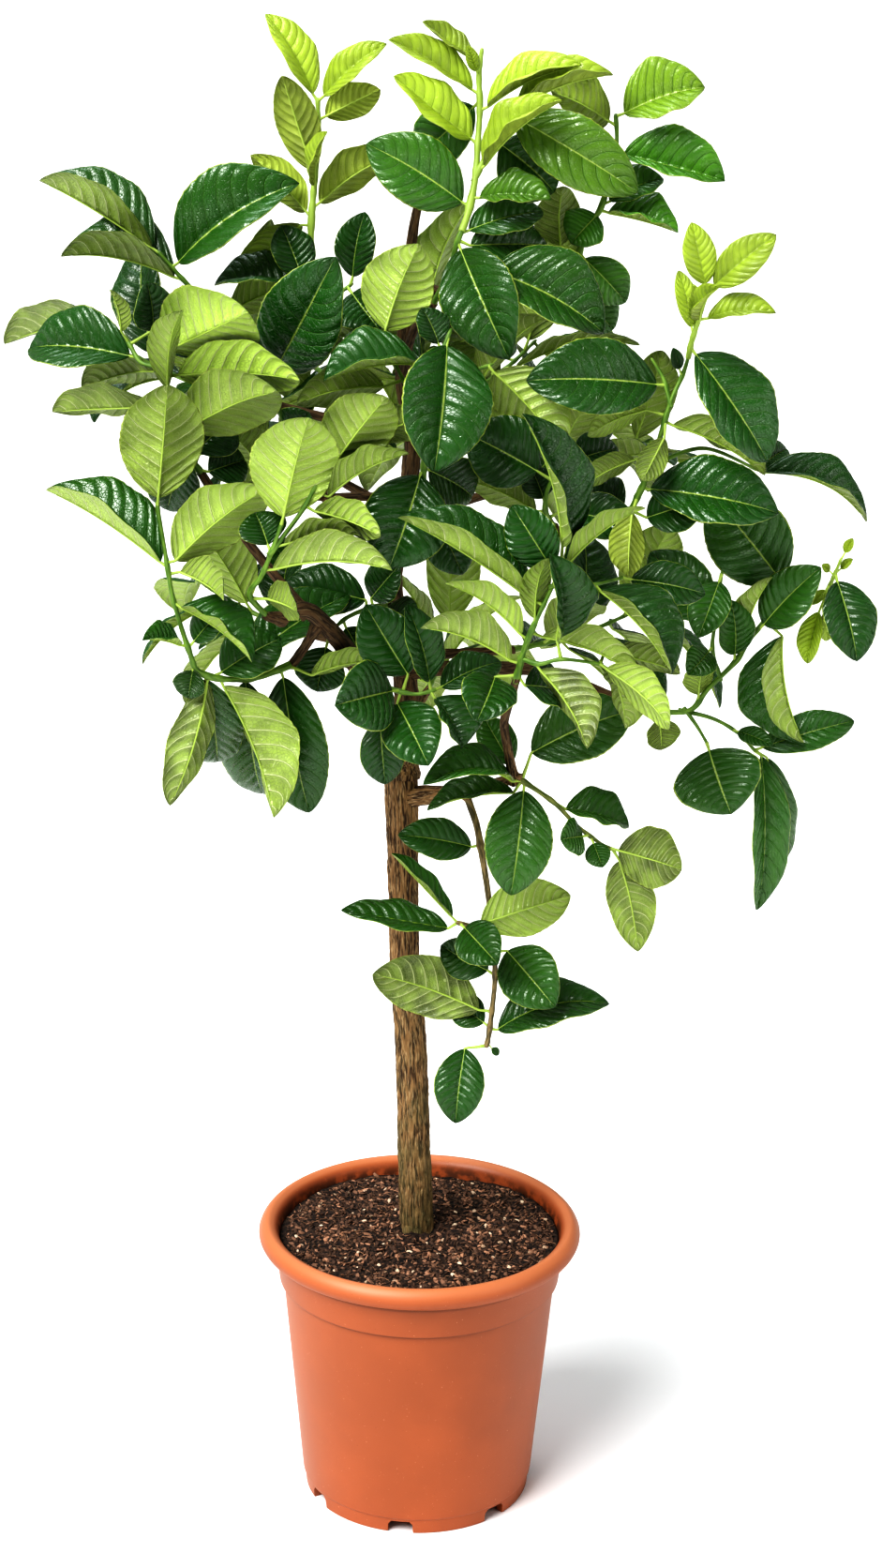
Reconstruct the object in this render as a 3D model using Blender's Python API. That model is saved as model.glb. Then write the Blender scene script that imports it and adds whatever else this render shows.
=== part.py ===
"""Potted citron tree: a grafted standard about 1.2 m tall, in a 260 mm plastic pot.

Sizes are in metres, +Z up, and the front of the tree faces -Y.  The origin is the middle of
the pot's foot.  The crown was laid out from one photograph: a shoot's stem and its leaves are
given by the pixels where they show, and by how many millimetres they lie in front of the
trunk's plane, so each keeps its place in the picture and has a real place in space.
"""
import math
import random
from collections import namedtuple

import bmesh
import bpy
from mathutils import Matrix, Vector
from mathutils.bvhtree import BVHTree

# Pot
POT_SIDES = 35
RIM_RADIUS = 0.130
RIM_TOP = 0.2345
RIM_INNER_RADIUS = 0.1149
COLLAR_TOP = 0.2155
COLLAR_FOOT = 0.1860
COLLAR_RADIUS = 0.1175
WALL_TOP_RADIUS = 0.1105
WALL_FOOT_RADIUS = 0.0940
INNER_TOP_RADIUS = 0.1120
INNER_FOOT_RADIUS = 0.0890
FLOOR_TOP = 0.0170
FLOOR_UNDER = 0.0135
FOOT_RADIUS = 0.0915
FOOT_INNER_RADIUS = 0.0850
FOOT_HEIGHT = 0.0122
NOTCH_COUNT = 7
NOTCH_WIDTH = 0.021
NOTCH_HEIGHT = 0.0105
NOTCH_FIRST = math.radians(-7.6)
DRAIN_CIRCLE = 0.070
DRAIN_RADIUS = 0.005

# Soil and trunk
GAP = 0.0003
SOIL_TOP = 0.2255
SOIL_BUMP = 0.0011
SOIL_FALL = 0.0040
SOIL_EDGE = SOIL_TOP - 0.0050
SOIL_RINGS = (0.035, 0.062, 0.089)
TRUNK_SIDES = 12
LIMB_SIDES = 6
TWIG_SIDES = 5
TRUNK_FOOT = 0.165
TRUNK_FOOT_CENTRE = Vector((-0.0020, 0.0050, 0.0))
TRUNK_FOOT_RADIUS = 0.0134
# The trunk above the soil, as (px, py, near) like the limbs, and the radius at each point from its foot
TRUNK_ROUTE = [(444.0, 1292, -4.5), (442.0, 1230, -3.5), (440.2, 1160, -2), (437.6, 1100, -1),
               (432.0, 1030, 0), (430.5, 960, 0), (429.5, 900, 0), (428.5, 850, 0), (428.0, 818, 0)]
TRUNK_RADII = [TRUNK_FOOT_RADIUS, TRUNK_FOOT_RADIUS, 0.0133, 0.0128, 0.0124, 0.0123, 0.0112, 0.0114, 0.0119,
               0.0128, 0.0122]

# Leaves
BLADE_MIDDLE = 0.0014
BLADE_BASE_POWER = 0.70
BLADE_TIP_POWER = 0.76
PETIOLE_RADIUS = 0.0012
PETIOLE_SHORTEST = 0.006
PETIOLE_BEND = 0.25
# The least share of each run of a stem, between two of its points, at which a leaf may root
FIRST_ROOT = 0.12
BLADE_STATIONS = (0.20, 0.50, 0.80)
SMALL_BLADE_STATIONS = (0.28, 0.70)
SMALL_BLADE = 0.075
TEST_THICKNESS = 0.0045
# Ways to vary a leaf that finds no room: sizes, turns in degrees, bases and tips nearer by so many mm
ROOM_SIZES = (1.0, 0.85, 0.7)
ROOM_TURNS = (0, -12, 12)
ROOM_BASES = (0, 6, -6, 12, -12)
ROOM_TIPS = (0, 10, -10, 20, -20, 32, -32)

# The eye that the photograph was taken from
EYE = Vector((0.0124, -2.269, 1.343))
EYE_PITCH = math.radians(18.05)
EYE_ROLL = math.radians(-0.79)
EYE_FOCAL = 3300.0
PICTURE_CENTRE = (470.5, 836.0)
MM = 0.001


def seen(px, py, near):
    """Return the point that shows at a pixel and lies `near` mm in front of the trunk's plane."""
    across = (px - PICTURE_CENTRE[0]) / EYE_FOCAL
    down = (py - PICTURE_CENTRE[1]) / EYE_FOCAL
    turn = Matrix.Rotation(EYE_ROLL, 2)
    across, down = turn @ Vector((across, down))
    ahead = Vector((0.0, math.cos(EYE_PITCH), -math.sin(EYE_PITCH)))
    below = Vector((0.0, -math.sin(EYE_PITCH), -math.cos(EYE_PITCH)))
    ray = ahead + across * Vector((1.0, 0.0, 0.0)) + down * below
    reach = (-near * MM - EYE.y) / ray.y
    return EYE + reach * ray


# The crown, as laid out by hand

# Wood below its shoots: a route of (px, py, near) points and the radius in mm at each.
LIMBS = {
    "leader": ([(428, 822, 0), (434, 770, 0), (430, 700, 0), (418, 622, 5), (431, 550, 8),
                (441, 466, 10), (430, 405, 10), (434, 310, 8), (441, 245, 5), (450, 200, 0)],
               [10.5, 9.5, 8.5, 7.8, 7.0, 6.2, 5.5, 4.6, 3.6, 2.4]),
    "left": ([(428, 812, 0), (405, 760, 45), (378, 705, 95), (330, 652, 140), (300, 660, 150)],
             [8.5, 7.6, 7.0, 5.8, 4.0]),
    "lower": ([(430, 850, 0), (455, 848, 12), (490, 845, 38), (520, 838, 68), (552, 829, 98)],
              [8.0, 7.4, 5.0, 4.4, 3.4]),
    "riser": ([(548, 830, 94), (542, 800, 120), (538, 770, 140), (545, 745, 160), (551, 724, 174)],
              [3.6, 3.4, 3.2, 3.0, 2.8]),
    "right_low": ([(432, 715, 0), (500, 712, 10), (580, 716, 30), (650, 742, 60), (697, 758, 80)],
                  [6.5, 5.2, 4.4, 3.8, 3.0]),
    "right": ([(424, 588, 5), (500, 575, 40), (590, 568, 80), (650, 562, 102), (668, 556, 110)],
              [6.2, 5.2, 4.4, 3.4, 3.0]),
}
# Wood that leads from a limb to the foot of each shoot: limb points first, the shoot's foot last.
SPURS = {
    "left_main": ([(340, 665, 130), (325, 690, 116), (312, 708, 108)], 3.4),
    "left_centre": ([(300, 660, 150), (285, 657, 160)], 3.2),
    "left_mid": ([(325, 652, 138), (270, 585, 118), (228, 525, 108), (215, 505, 108)], 3.2),
    "upper_left": ([(434, 538, 8), (400, 530, 35), (345, 530, 60), (318, 520, 68)], 3.2),
    "left_top": ([(350, 530, 58), (300, 440, 10), (262, 370, 15), (240, 340, 28)], 3.0),
    "centre": ([(420, 628, 5), (426, 592, 62), (442, 567, 112), (452, 556, 130)], 3.2),
    "top_centre": ([(430, 405, 10), (438, 362, 45), (452, 335, 72), (462, 325, 80)], 3.0),
    "top_right": ([(436, 300, 8), (500, 318, 15), (560, 312, 35), (598, 302, 50)], 3.0),
    "centre_right": ([(575, 569, 74), (588, 570, 92), (592, 562, 104)], 2.8),
    "centre_low": ([(398, 745, 60), (388, 728, 92), (380, 716, 106)], 2.8),
    "hanging": ([(488, 845, 36), (495, 848, 44), (499, 852, 47)], 3.0),
    "inner_left": ([(423, 656, 4), (419, 650, 28), (414, 645, 48)], 2.8),
}

Leaf = namedtuple("Leaf", "base tip toward turn width fold bow", defaults=(10, 0, 56, 14, 0.07))
Shoot = namedtuple("Shoot", "stems radius leaves young", defaults=(False,))

SHOOTS = {
    "left_main": Shoot(
        [[(312, 708, 108), (275, 722, 125), (238, 724, 140), (212, 716, 150), (203, 698, 156),
          (185, 640, 160), (178, 600, 160), (168, 540, 150)]], 2.4,
        [Leaf((168, 532), (178, 409), 15, 172, 62),
         Leaf((172, 606), (50, 520), -30, 58, 66, 50, 0.03),
         Leaf((187, 598), (284, 520), 20, 150, 54),
         Leaf((187, 642), (270, 705), 20, 58, 52, 42),
         Leaf((192, 610), (240, 640), 30, 120, 40, 30),
         Leaf((198, 690), (152, 682), 20, 60, 30, 40),
         Leaf((222, 724), (180, 858), 0, 150, 38, 25, -0.08),
         Leaf((217, 722), (232, 815), -30, 0, 44),
         Leaf((236, 723), (294, 871), 10, 130, 68, 40),
         Leaf((262, 726), (280, 850), -60, 0, 50),
         Leaf((302, 722), (330, 868), -10, 0, 50),
         Leaf((265, 704), (373, 633), -30, 40, 50, 25),
         Leaf((207, 706), (201, 745), -10, 20, 26),
         Leaf((230, 715), (300, 680), -22, 25, 44),
         Leaf((203, 690), (240, 650), 8, 30, 28),
         Leaf((332, 720), (414, 705), -8, 120, 32, 20)]),
    "left_centre": Shoot(
        [[(285, 657, 160), (266, 634, 174), (278, 616, 182), (290, 588, 188), (300, 560, 190)],
         [(290, 588, 188), (322, 545, 186), (345, 507, 180), (388, 474, 165)]], 2.2,
        [Leaf((300, 558), (329, 444), 20, 170, 64),
         Leaf((345, 500), (413, 422), 25, 160, 52),
         Leaf((350, 530), (436, 482), -5, 110, 42, 30),
         Leaf((395, 470), (454, 445), 30, 140, 40),
         Leaf((287, 610), (419, 606), 10, 118, 52, 30),
         Leaf((297, 588), (386, 570), 10, 110, 36, 25),
         Leaf((335, 545), (407, 571), 15, 130, 38),
         Leaf((255, 650), (318, 652), 25, 130, 38),
         Leaf((290, 590), (272, 546), -25, 10, 36)]),
    "left_mid": Shoot(
        [[(215, 505, 108), (192, 470, 122), (180, 430, 128), (175, 396, 124), (150, 386, 116),
          (135, 362, 106), (120, 348, 98)]], 2.2,
        [Leaf((118, 348), (6, 363), -105, 118, 52, 25, 0.05),
         Leaf((142, 384), (30, 370), -40, 32, 60, 30),
         Leaf((172, 397), (88, 413), -30, 130, 44, 20),
         Leaf((165, 434), (56, 437), -30, 118, 48, 20, 0.0),
         Leaf((150, 358), (118, 308), 10, 120, 22, 20),
         Leaf((163, 352), (157, 300), 20, 20, 32),
         Leaf((180, 373), (266, 331), 48, 150, 74, 15, 0.0),
         Leaf((185, 420), (192, 330), 25, 150, 32, 40),
         Leaf((190, 400), (321, 404), 5, 140, 54),
         Leaf((180, 466), (298, 416), 30, 150, 60),
         Leaf((205, 485), (246, 445), -30, 0, 40),
         Leaf((196, 480), (178, 545), -25, 0, 40),
         Leaf((212, 400), (216, 340), -14, 10, 42),
         Leaf((222, 503), (262, 490), -25, 10, 34)]),
    "upper_left": Shoot(
        [[(318, 520, 68), (305, 455, 85), (292, 425, 92), (290, 400, 92), (305, 350, 78),
          (326, 306, 56), (331, 296, 50)],
         [(305, 350, 78), (345, 325, 60), (374, 304, 50)]], 2.2,
        [Leaf((287, 402), (357, 275), 40, 10, 62),
         Leaf((322, 300), (228, 303), -10, 60, 50, 30),
         Leaf((370, 298), (389, 226), 0, 20, 32),
         Leaf((284, 505), (246, 460), 40, 150, 46),
         Leaf((300, 465), (330, 440), 10, 0, 34),
         Leaf((372, 308), (405, 352), 25, 10, 46),
         Leaf((322, 296), (300, 240), -25, 20, 34)]),
    "young_top_left": Shoot(
        [[(331, 296, 50), (332, 240, 45), (335, 200, 40), (340, 150, 34), (339, 108, 30)]], 2.5,
        [Leaf((343, 102), (284, 14), -10, 40, 34, 25),
         Leaf((344, 103), (412, 46), 10, 40, 30, 25),
         Leaf((327, 190), (301, 80), 15, 172, 32),
         Leaf((343, 128), (406, 95), 10, 160, 28, 14, 0.02),
         Leaf((340, 222), (427, 161), -10, 140, 40, 20, 0.10),
         Leaf((328, 232), (268, 165), -20, 150, 30, 20),
         Leaf((338, 205), (348, 140), 15, 75, 26, 30),
         Leaf((322, 240), (250, 297), -25, 150, 26, 20)], True),
    "left_top": Shoot(
        [[(240, 340, 28), (215, 318, 34), (195, 298, 38), (170, 270, 36)]], 2.2,
        [Leaf((163, 274), (43, 190), -20, 68, 68, 55, 0.02),
         Leaf((190, 302), (65, 271), 12, 70, 76, 50),
         Leaf((183, 285), (318, 194), 5, 36, 76, 34, 0.10),
         Leaf((240, 332), (320, 303), -8, 130, 44)]),
    "centre": Shoot(
        [[(452, 556, 130), (452, 505, 150), (453, 455, 160), (462, 400, 160), (480, 354, 150)],
         [(462, 400, 160), (500, 396, 142), (524, 389, 132)],
         [(453, 440, 160), (430, 405, 152), (414, 368, 140)]], 2.2,
        [Leaf((447, 388), (345, 405), 10, 60, 60, 40),
         Leaf((488, 362), (464, 503), 20, -18, 70, 20),
         Leaf((462, 498), (415, 606), 12, 0, 64),
         Leaf((470, 375), (450, 328), -10, 30, 28),
         Leaf((522, 395), (600, 482), 10, 150, 58),
         Leaf((411, 352), (447, 260), -15, 168, 54),
         Leaf((410, 412), (316, 430), 8, 130, 46),
         Leaf((462, 545), (494, 613), 0, 0, 38),
         Leaf((458, 498), (505, 530), -40, 10, 40)]),
    "top_centre": Shoot(
        [[(462, 325, 80), (478, 292, 90), (488, 258, 94), (494, 243, 92)],
         [(478, 292, 90), (500, 286, 98), (514, 284, 104)]], 2.4,
        [Leaf((488, 257), (543, 383), 40, -8, 58, 18, 0.14),
         Leaf((500, 252), (580, 225), -20, 40, 36),
         Leaf((521, 283), (645, 354), 25, 34, 72, 32),
         Leaf((502, 262), (585, 262), -30, 25, 44)]),
    "young_top_mid": Shoot(
        [[(494, 243, 92), (500, 225, 85), (507, 190, 76), (510, 150, 67), (512, 115, 60),
          (511, 80, 55), (514, 54, 52)],
         [(507, 190, 76), (525, 152, 72), (542, 118, 66)]], 2.7,
        [Leaf((510, 68), (451, 22), 0, 55, 26, 35, -0.06),
         Leaf((507, 101), (415, 41), 5, 50, 36, 35, 0.02),
         Leaf((505, 154), (421, 80), 10, 40, 40, 30, 0.0),
         Leaf((513, 118), (620, 68), 15, 62, 42, 40),
         Leaf((512, 183), (599, 106), 25, 60, 46, 45),
         Leaf((511, 84), (499, 48), 0, 10, 10),
         Leaf((506, 108), (443, 169), -30, 10, 42),
         Leaf((508, 212), (588, 212), 20, 50, 40, 30),
         Leaf((528, 150), (592, 205), -18, 15, 56),
         Leaf((545, 122), (681, 205), 15, 12, 50),
         Leaf((545, 112), (654, 78), 0, 65, 44, 45),
         Leaf((492, 220), (391, 153), 0, 10, 52)], True),
    "top_right": Shoot(
        [[(598, 302, 50), (613, 285, 54), (626, 242, 58), (640, 224, 58), (652, 185, 54),
          (658, 152, 50), (657, 124, 47)]], 2.3,
        [Leaf((652, 134), (588, 96), -20, 140, 46),
         Leaf((657, 124), (752, 92), 0, 34, 58, 32, 0.06),
         Leaf((661, 163), (774, 192), 10, 40, 60, 42, 0.0),
         Leaf((640, 218), (708, 190), -10, 40, 36, 25),
         Leaf((640, 222), (724, 247), 10, 62, 48, 35, 0.03),
         Leaf((598, 262), (600, 198), 6, 150, 40),
         Leaf((620, 270), (668, 323), -10, 0, 33),
         Leaf((605, 300), (655, 352), -10, 0, 36),
         Leaf((627, 208), (609, 260), -14, 20, 36)]),
    "right_main": Shoot(
        [[(668, 556, 110), (680, 530, 120), (690, 508, 125), (703, 470, 130), (715, 430, 130),
          (729, 398, 125), (735, 378, 132)],
         [(715, 430, 130), (708, 404, 124), (696, 384, 120)],
         [(694, 497, 126), (750, 478, 104), (806, 500, 92)]], 2.3,
        [Leaf((712, 410), (562, 405), 12, 20, 60, 18),
         Leaf((730, 402), (718, 371), 8, 10, 10),
         Leaf((712, 450), (817, 505), -8, 118, 52, 25),
         Leaf((812, 504), (926, 555), -12, 58, 46, 38, 0.14),
         Leaf((690, 523), (831, 546), 12, 30, 60, 25),
         Leaf((690, 437), (626, 464), 15, 140, 26),
         Leaf((690, 440), (685, 513), 25, 180, 24, 30),
         Leaf((678, 490), (620, 520), 10, 130, 28),
         Leaf((690, 552), (757, 530), 18, 10, 38),
         Leaf((698, 537), (670, 616), 40, 160, 30, 20),
         Leaf((810, 502), (840, 478), -20, 10, 24),
         Leaf((668, 548), (624, 522), -20, 20, 38)]),
    "young_right": Shoot(
        [[(735, 378, 132), (738, 364, 139), (744, 345, 146), (755, 312, 150)]], 2.0,
        [Leaf((757, 305), (738, 237), 0, 10, 24),
         Leaf((762, 305), (828, 250), 5, 10, 28),
         Leaf((752, 343), (828, 333), 10, 50, 30, 30),
         Leaf((742, 355), (740, 303), 12, 30, 14),
         Leaf((738, 358), (724, 288), -12, 10, 16),
         Leaf((746, 345), (768, 305), 15, 70, 22, 45),
         Leaf((736, 370), (820, 492), 4, 30, 60, 24)], True),
    "centre_right": Shoot(
        [[(592, 562, 104), (582, 545, 118), (585, 520, 128), (600, 496, 130)]], 2.0,
        [Leaf((572, 545), (486, 508), 0, 130, 44),
         Leaf((580, 540), (566, 498), -15, 20, 28),
         Leaf((603, 494), (660, 478), -10, 10, 34),
         Leaf((598, 545), (682, 560), -10, 15, 36),
         Leaf((574, 503), (498, 462), -30, 10, 56)]),
    "junction": Shoot(
        [[(551, 724, 174), (560, 690, 185), (575, 655, 195), (598, 608, 205)],
         [(590, 625, 202), (612, 620, 204), (630, 624, 203), (664, 616, 176)],
         [(557, 702, 181), (575, 708, 188), (600, 703, 192), (640, 708, 188)]], 2.3,
        [Leaf((600, 583), (560, 441), 25, 56, 60, 46),
         Leaf((578, 670), (583, 594), 30, 150, 24),
         Leaf((602, 606), (688, 540), 20, 100, 36, 30),
         Leaf((565, 638), (426, 549), 22, 66, 66, 50, 0.03),
         Leaf((558, 680), (475, 620), 10, 110, 42, 25),
         Leaf((545, 705), (449, 668), 6, 112, 54, 30),
         Leaf((594, 681), (588, 591), 25, 48, 54, 40),
         Leaf((588, 605), (546, 539), -5, -10, 38),
         Leaf((578, 679), (686, 724), 30, 115, 46, 25),
         Leaf((644, 699), (726, 717), 16, 120, 38),
         Leaf((640, 715), (716, 776), 10, 130, 42),
         Leaf((634, 628), (718, 718), 20, 60, 64, 45),
         Leaf((668, 615), (753, 633), -5, 20, 34),
         Leaf((568, 714), (628, 798), 20, 130, 50, 30),
         Leaf((528, 722), (509, 769), 45, 0, 42),
         Leaf((560, 731), (606, 743), -30, 40, 40),
         Leaf((650, 714), (668, 776), -15, 130, 40, 20)]),
    "lower_centre": Shoot(
        [[(552, 829, 98), (590, 855, 104), (615, 880, 106), (640, 899, 106), (654, 906, 106)]], 1.9,
        [Leaf((567, 803), (674, 757), -20, 15, 54),
         Leaf((557, 838), (545, 955), 22, 0, 52),
         Leaf((598, 837), (672, 881), -10, 50, 46, 30, 0.06),
         Leaf((630, 889), (598, 895), 15, 10, 30),
         Leaf((628, 893), (643, 925), 10, 0, 20),
         Leaf((650, 907), (728, 927), 20, 162, 50),
         Leaf((661, 918), (681, 1014), 0, 168, 38),
         Leaf((548, 845), (455, 863), 0, 60, 38, 30),
         Leaf((548, 825), (452, 835), 50, 50, 44, 30, 0.16),
         Leaf((546, 808), (516, 764), -20, 20, 30)]),
    "centre_low": Shoot(
        [[(380, 716, 106), (405, 730, 122), (440, 740, 130), (463, 736, 130)]], 2.0,
        [Leaf((435, 719), (390, 645), 0, 0, 46),
         Leaf((405, 767), (411, 837), 0, 0, 34),
         Leaf((424, 747), (358, 752), 30, 0, 54),
         Leaf((424, 750), (457, 816), 35, 0, 46),
         Leaf((460, 740), (493, 798), 15, 45, 54, 36),
         Leaf((458, 727), (434, 644), -12, 30, 34, 25),
         Leaf((466, 733), (535, 705), -30, 30, 32)]),
    "hanging": Shoot(
        [[(499, 852, 47), (508, 878, 58), (514, 910, 66), (521, 955, 70), (526, 1005, 70),
          (528, 1045, 70), (522, 1100, 70), (519, 1115, 70)],
         [(525, 992, 70), (505, 988, 80), (488, 984, 85)]], 2.9,
        [Leaf((503, 903), (425, 890), 12, 15, 34),
         Leaf((486, 982), (419, 909), 0, 60, 25, 40, 0.0),
         Leaf((478, 990), (364, 969), 5, 50, 38, 20, 0.0),
         Leaf((490, 988), (531, 1028), 40, 0, 38),
         Leaf((504, 990), (609, 954), 5, 165, 46),
         Leaf((511, 1077), (397, 1038), 10, 160, 52),
         Leaf((541, 1014), (592, 1074), 35, 0, 48),
         Leaf((531, 1098), (650, 1069), -5, 40, 50, 14, 0.14),
         Leaf((496, 1118), (486, 1198), 20, 0, 40),
         Leaf((518, 1095), (484, 1068), -22, 0, 28),
         Leaf((520, 1040), (470, 1008), -25, 0, 34),
         Leaf((522, 1112), (532, 1125), 0, 20, 7)]),
    "right_cluster": Shoot(
        [[(697, 758, 80), (735, 758, 95), (755, 735, 97), (785, 705, 97), (803, 678, 95),
          (836, 642, 86), (866, 638, 80), (880, 636, 78), (883, 630, 84)],
         [(768, 722, 97), (760, 690, 104), (766, 650, 108), (770, 612, 110)],
         [(728, 758, 92), (760, 766, 100), (785, 780, 102), (805, 800, 100)],
         [(732, 758, 94), (744, 775, 104), (754, 792, 110)]], 2.1,
        [Leaf((834, 620), (758, 526), -8, 0, 62),
         Leaf((755, 660), (694, 588), -20, 10, 46),
         Leaf((770, 606), (745, 680), 25, 10, 32),
         Leaf((807, 670), (875, 605), 20, 12, 40),
         Leaf((785, 698), (823, 614), 15, 120, 28, 45),
         Leaf((834, 678), (856, 793), 18, -60, 74, 58),
         Leaf((745, 748), (752, 708), 20, 150, 26),
         Leaf((758, 690), (734, 719), 20, 0, 26),
         Leaf((812, 803), (912, 768), -20, 20, 32),
         Leaf((780, 778), (825, 795), 25, 20, 16),
         Leaf((757, 795), (780, 868), 30, 0, 68),
         Leaf((812, 806), (809, 972), 0, 35, 40, 30),
         Leaf((818, 808), (835, 923), -30, 30, 30),
         Leaf((782, 704), (780, 640), -10, 20, 30),
         Leaf((702, 752), (706, 800), 15, 150, 30)]),
    "inner_left": Shoot(
        [[(414, 645, 48), (390, 650, 64), (368, 660, 76), (352, 675, 84)]], 2.0,
        [Leaf((390, 640), (300, 626), 20, 30, 44),
         Leaf((402, 640), (446, 668), 20, 20, 34),
         Leaf((396, 638), (426, 603), 10, 20, 32),
         Leaf((348, 690), (338, 738), 0, 10, 40),
         Leaf((372, 668), (390, 712), 0, 10, 36)]),
    "young_far_right": Shoot(
        [[(883, 630, 84), (889, 616, 94), (897, 597, 102)]], 1.6,
        [Leaf((897, 596), (910, 574), 0, 20, 8),
         Leaf((891, 612), (910, 596), 5, 20, 7),
         Leaf((889, 614), (877, 602), 5, 20, 7),
         Leaf((884, 622), (866, 645), 10, 20, 9),
         Leaf((874, 652), (861, 708), 4, 20, 22, 30),
         Leaf((880, 652), (883, 684), -4, 20, 14),
         Leaf((893, 612), (915, 705), 25, 20, 42)], True),
}

# Shoots of the back and the inside, which the picture doesn't show: heading in degrees from +X
# towards +Y, height on the leader, rise, length of the wood that leads there, all in mm.
HiddenShoot = namedtuple("HiddenShoot", "heading height rise reach")
HIDDEN_SHOOTS = {
    "back_low_right": HiddenShoot(15, 680, 0, 85),
    "back_low_mid": HiddenShoot(80, 670, 0, 90),
    "back_low_left": HiddenShoot(150, 690, 5, 85),
    "back_mid_right": HiddenShoot(12, 820, 20, 85),
    "back_mid_near_right": HiddenShoot(48, 800, 20, 105),
    "back_mid": HiddenShoot(90, 830, 25, 90),
    "back_mid_near_left": HiddenShoot(132, 800, 20, 100),
    "back_mid_left": HiddenShoot(172, 850, 20, 105),
    "back_high_right": HiddenShoot(52, 890, 20, 45),
    "back_high_mid": HiddenShoot(88, 885, 25, 65),
    "back_high_left": HiddenShoot(135, 885, 25, 55),
}
HIDDEN_WOOD_RADII = (0.0045, 0.0036, 0.0030)
HIDDEN_STEM_RADIUS = 0.0021
HIDDEN_STEM = 0.105
# Points of a hidden stem: the share of its length, and how far it has curved up there
HIDDEN_STEM_CURVE = [(0.0, 0.0), (0.35, 0.0), (0.7, 0.004), (1.0, 0.012)]
STEM_TAPER = 0.45
SIDE_STEM_SHARE = 0.8
SPUR_FLARE = 1.25
# Leaves of the hidden shoots, drawn at random between two values; widths are shares of the length
HIDDEN_LEAVES = 8
HIDDEN_PETIOLE = 0.009
HIDDEN_LENGTHS = (0.074, 0.098)
HIDDEN_WIDTHS = (0.50, 0.60)
HIDDEN_DROOPS = (-0.35, 0.15)
HIDDEN_FOLDS = (10, 30)
HIDDEN_BOW = 0.09
SPIRAL_STEP = math.radians(137.5)
SPIRAL_STRAY = 0.3
CROWN_SEED = 7

# Colours of the real thing, as linear red, green and blue
TERRACOTTA = (0.58, 0.16, 0.065)
SOIL_BROWN = (0.045, 0.028, 0.020)
BARK = (0.17, 0.105, 0.055)
LEAF_GREEN = (0.035, 0.16, 0.03)
YOUNG_LIME = (0.30, 0.50, 0.04)


def clear_scene():
    """Remove every object that the file starts with."""
    for thing in list(bpy.data.objects):
        bpy.data.objects.remove(thing, do_unlink=True)


def principled(name, colour, roughness):
    """Make a plain Principled material."""
    material = bpy.data.materials.new(name)
    material.use_nodes = True
    shader = material.node_tree.nodes["Principled BSDF"]
    shader.inputs["Base Color"].default_value = (*colour, 1.0)
    shader.inputs["Roughness"].default_value = roughness
    shader.inputs["Metallic"].default_value = 0.0
    return material


def new_object(name, corners, faces):
    """Make an object from a list of corners and the faces between them."""
    mesh = bpy.data.meshes.new(name)
    mesh.from_pydata([tuple(corner) for corner in corners], [], faces)
    mesh.update()
    thing = bpy.data.objects.new(name, mesh)
    bpy.context.scene.collection.objects.link(thing)
    return thing


def every_edge_joins_two_faces(mesh):
    """Tell whether a mesh is one plain closed surface, with no edge where it touches itself."""
    uses = {}
    for face in mesh.polygons:
        for edge in face.edge_keys:
            uses[edge] = uses.get(edge, 0) + 1
    return all(count == 2 for count in uses.values())


def combine(name, main, others, operation):
    """Apply one Boolean of a collection of objects to the main one, then remove them.

    The exact solver can leave a petiole that folds back on its blade touching itself along an
    edge; the manifold solver then does the work.
    """
    group = bpy.data.collections.new(name + "_pieces")
    bpy.context.scene.collection.children.link(group)
    for other in others:
        bpy.context.scene.collection.objects.unlink(other)
        group.objects.link(other)
    step = main.modifiers.new("Boolean", "BOOLEAN")
    step.operand_type = "COLLECTION"
    step.collection = group
    step.operation = operation
    for solver in ("EXACT", "MANIFOLD"):
        step.solver = solver
        bpy.context.view_layer.update()
        view = bpy.context.evaluated_depsgraph_get()
        result = bpy.data.meshes.new_from_object(main.evaluated_get(view))
        if every_edge_joins_two_faces(result):
            break
    main.modifiers.clear()
    main.data = result
    main.name = name
    result.name = name
    for other in others:
        bpy.data.objects.remove(other, do_unlink=True)
    bpy.data.collections.remove(group)
    return main


def finish(thing, material, crease=40.0):
    """Give an object its material, and shade it smooth but for its sharp edges."""
    thing.data.materials.clear()
    thing.data.materials.append(material)
    thing.data.shade_smooth()
    thing.data.set_sharp_from_angle(angle=math.radians(crease))


# Pot and soil

def turned(profile, sides):
    """Turn a profile of (radius, height) points about the Z axis; a point of radius 0 is a pole."""
    corners = []
    rows = []
    for radius, height in profile:
        if radius == 0.0:
            rows.append([len(corners)] * sides)
            corners.append(Vector((0.0, 0.0, height)))
            continue
        rows.append([len(corners) + step for step in range(sides)])
        for step in range(sides):
            angle = 2.0 * math.pi * step / sides
            corners.append(Vector((radius * math.cos(angle), radius * math.sin(angle), height)))
    faces = []
    for low, high in zip(rows, rows[1:]):
        for step in range(sides):
            after = (step + 1) % sides
            ring = [low[step], low[after], high[after], high[step]]
            faces.append([corner for spot, corner in enumerate(ring) if corner not in ring[:spot]])
    return corners, faces


def foot_heading(angle):
    """Return the direction that lies at an angle from the pot's front, -Y, towards +X."""
    return Vector((math.sin(angle), -math.cos(angle), 0.0))


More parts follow.
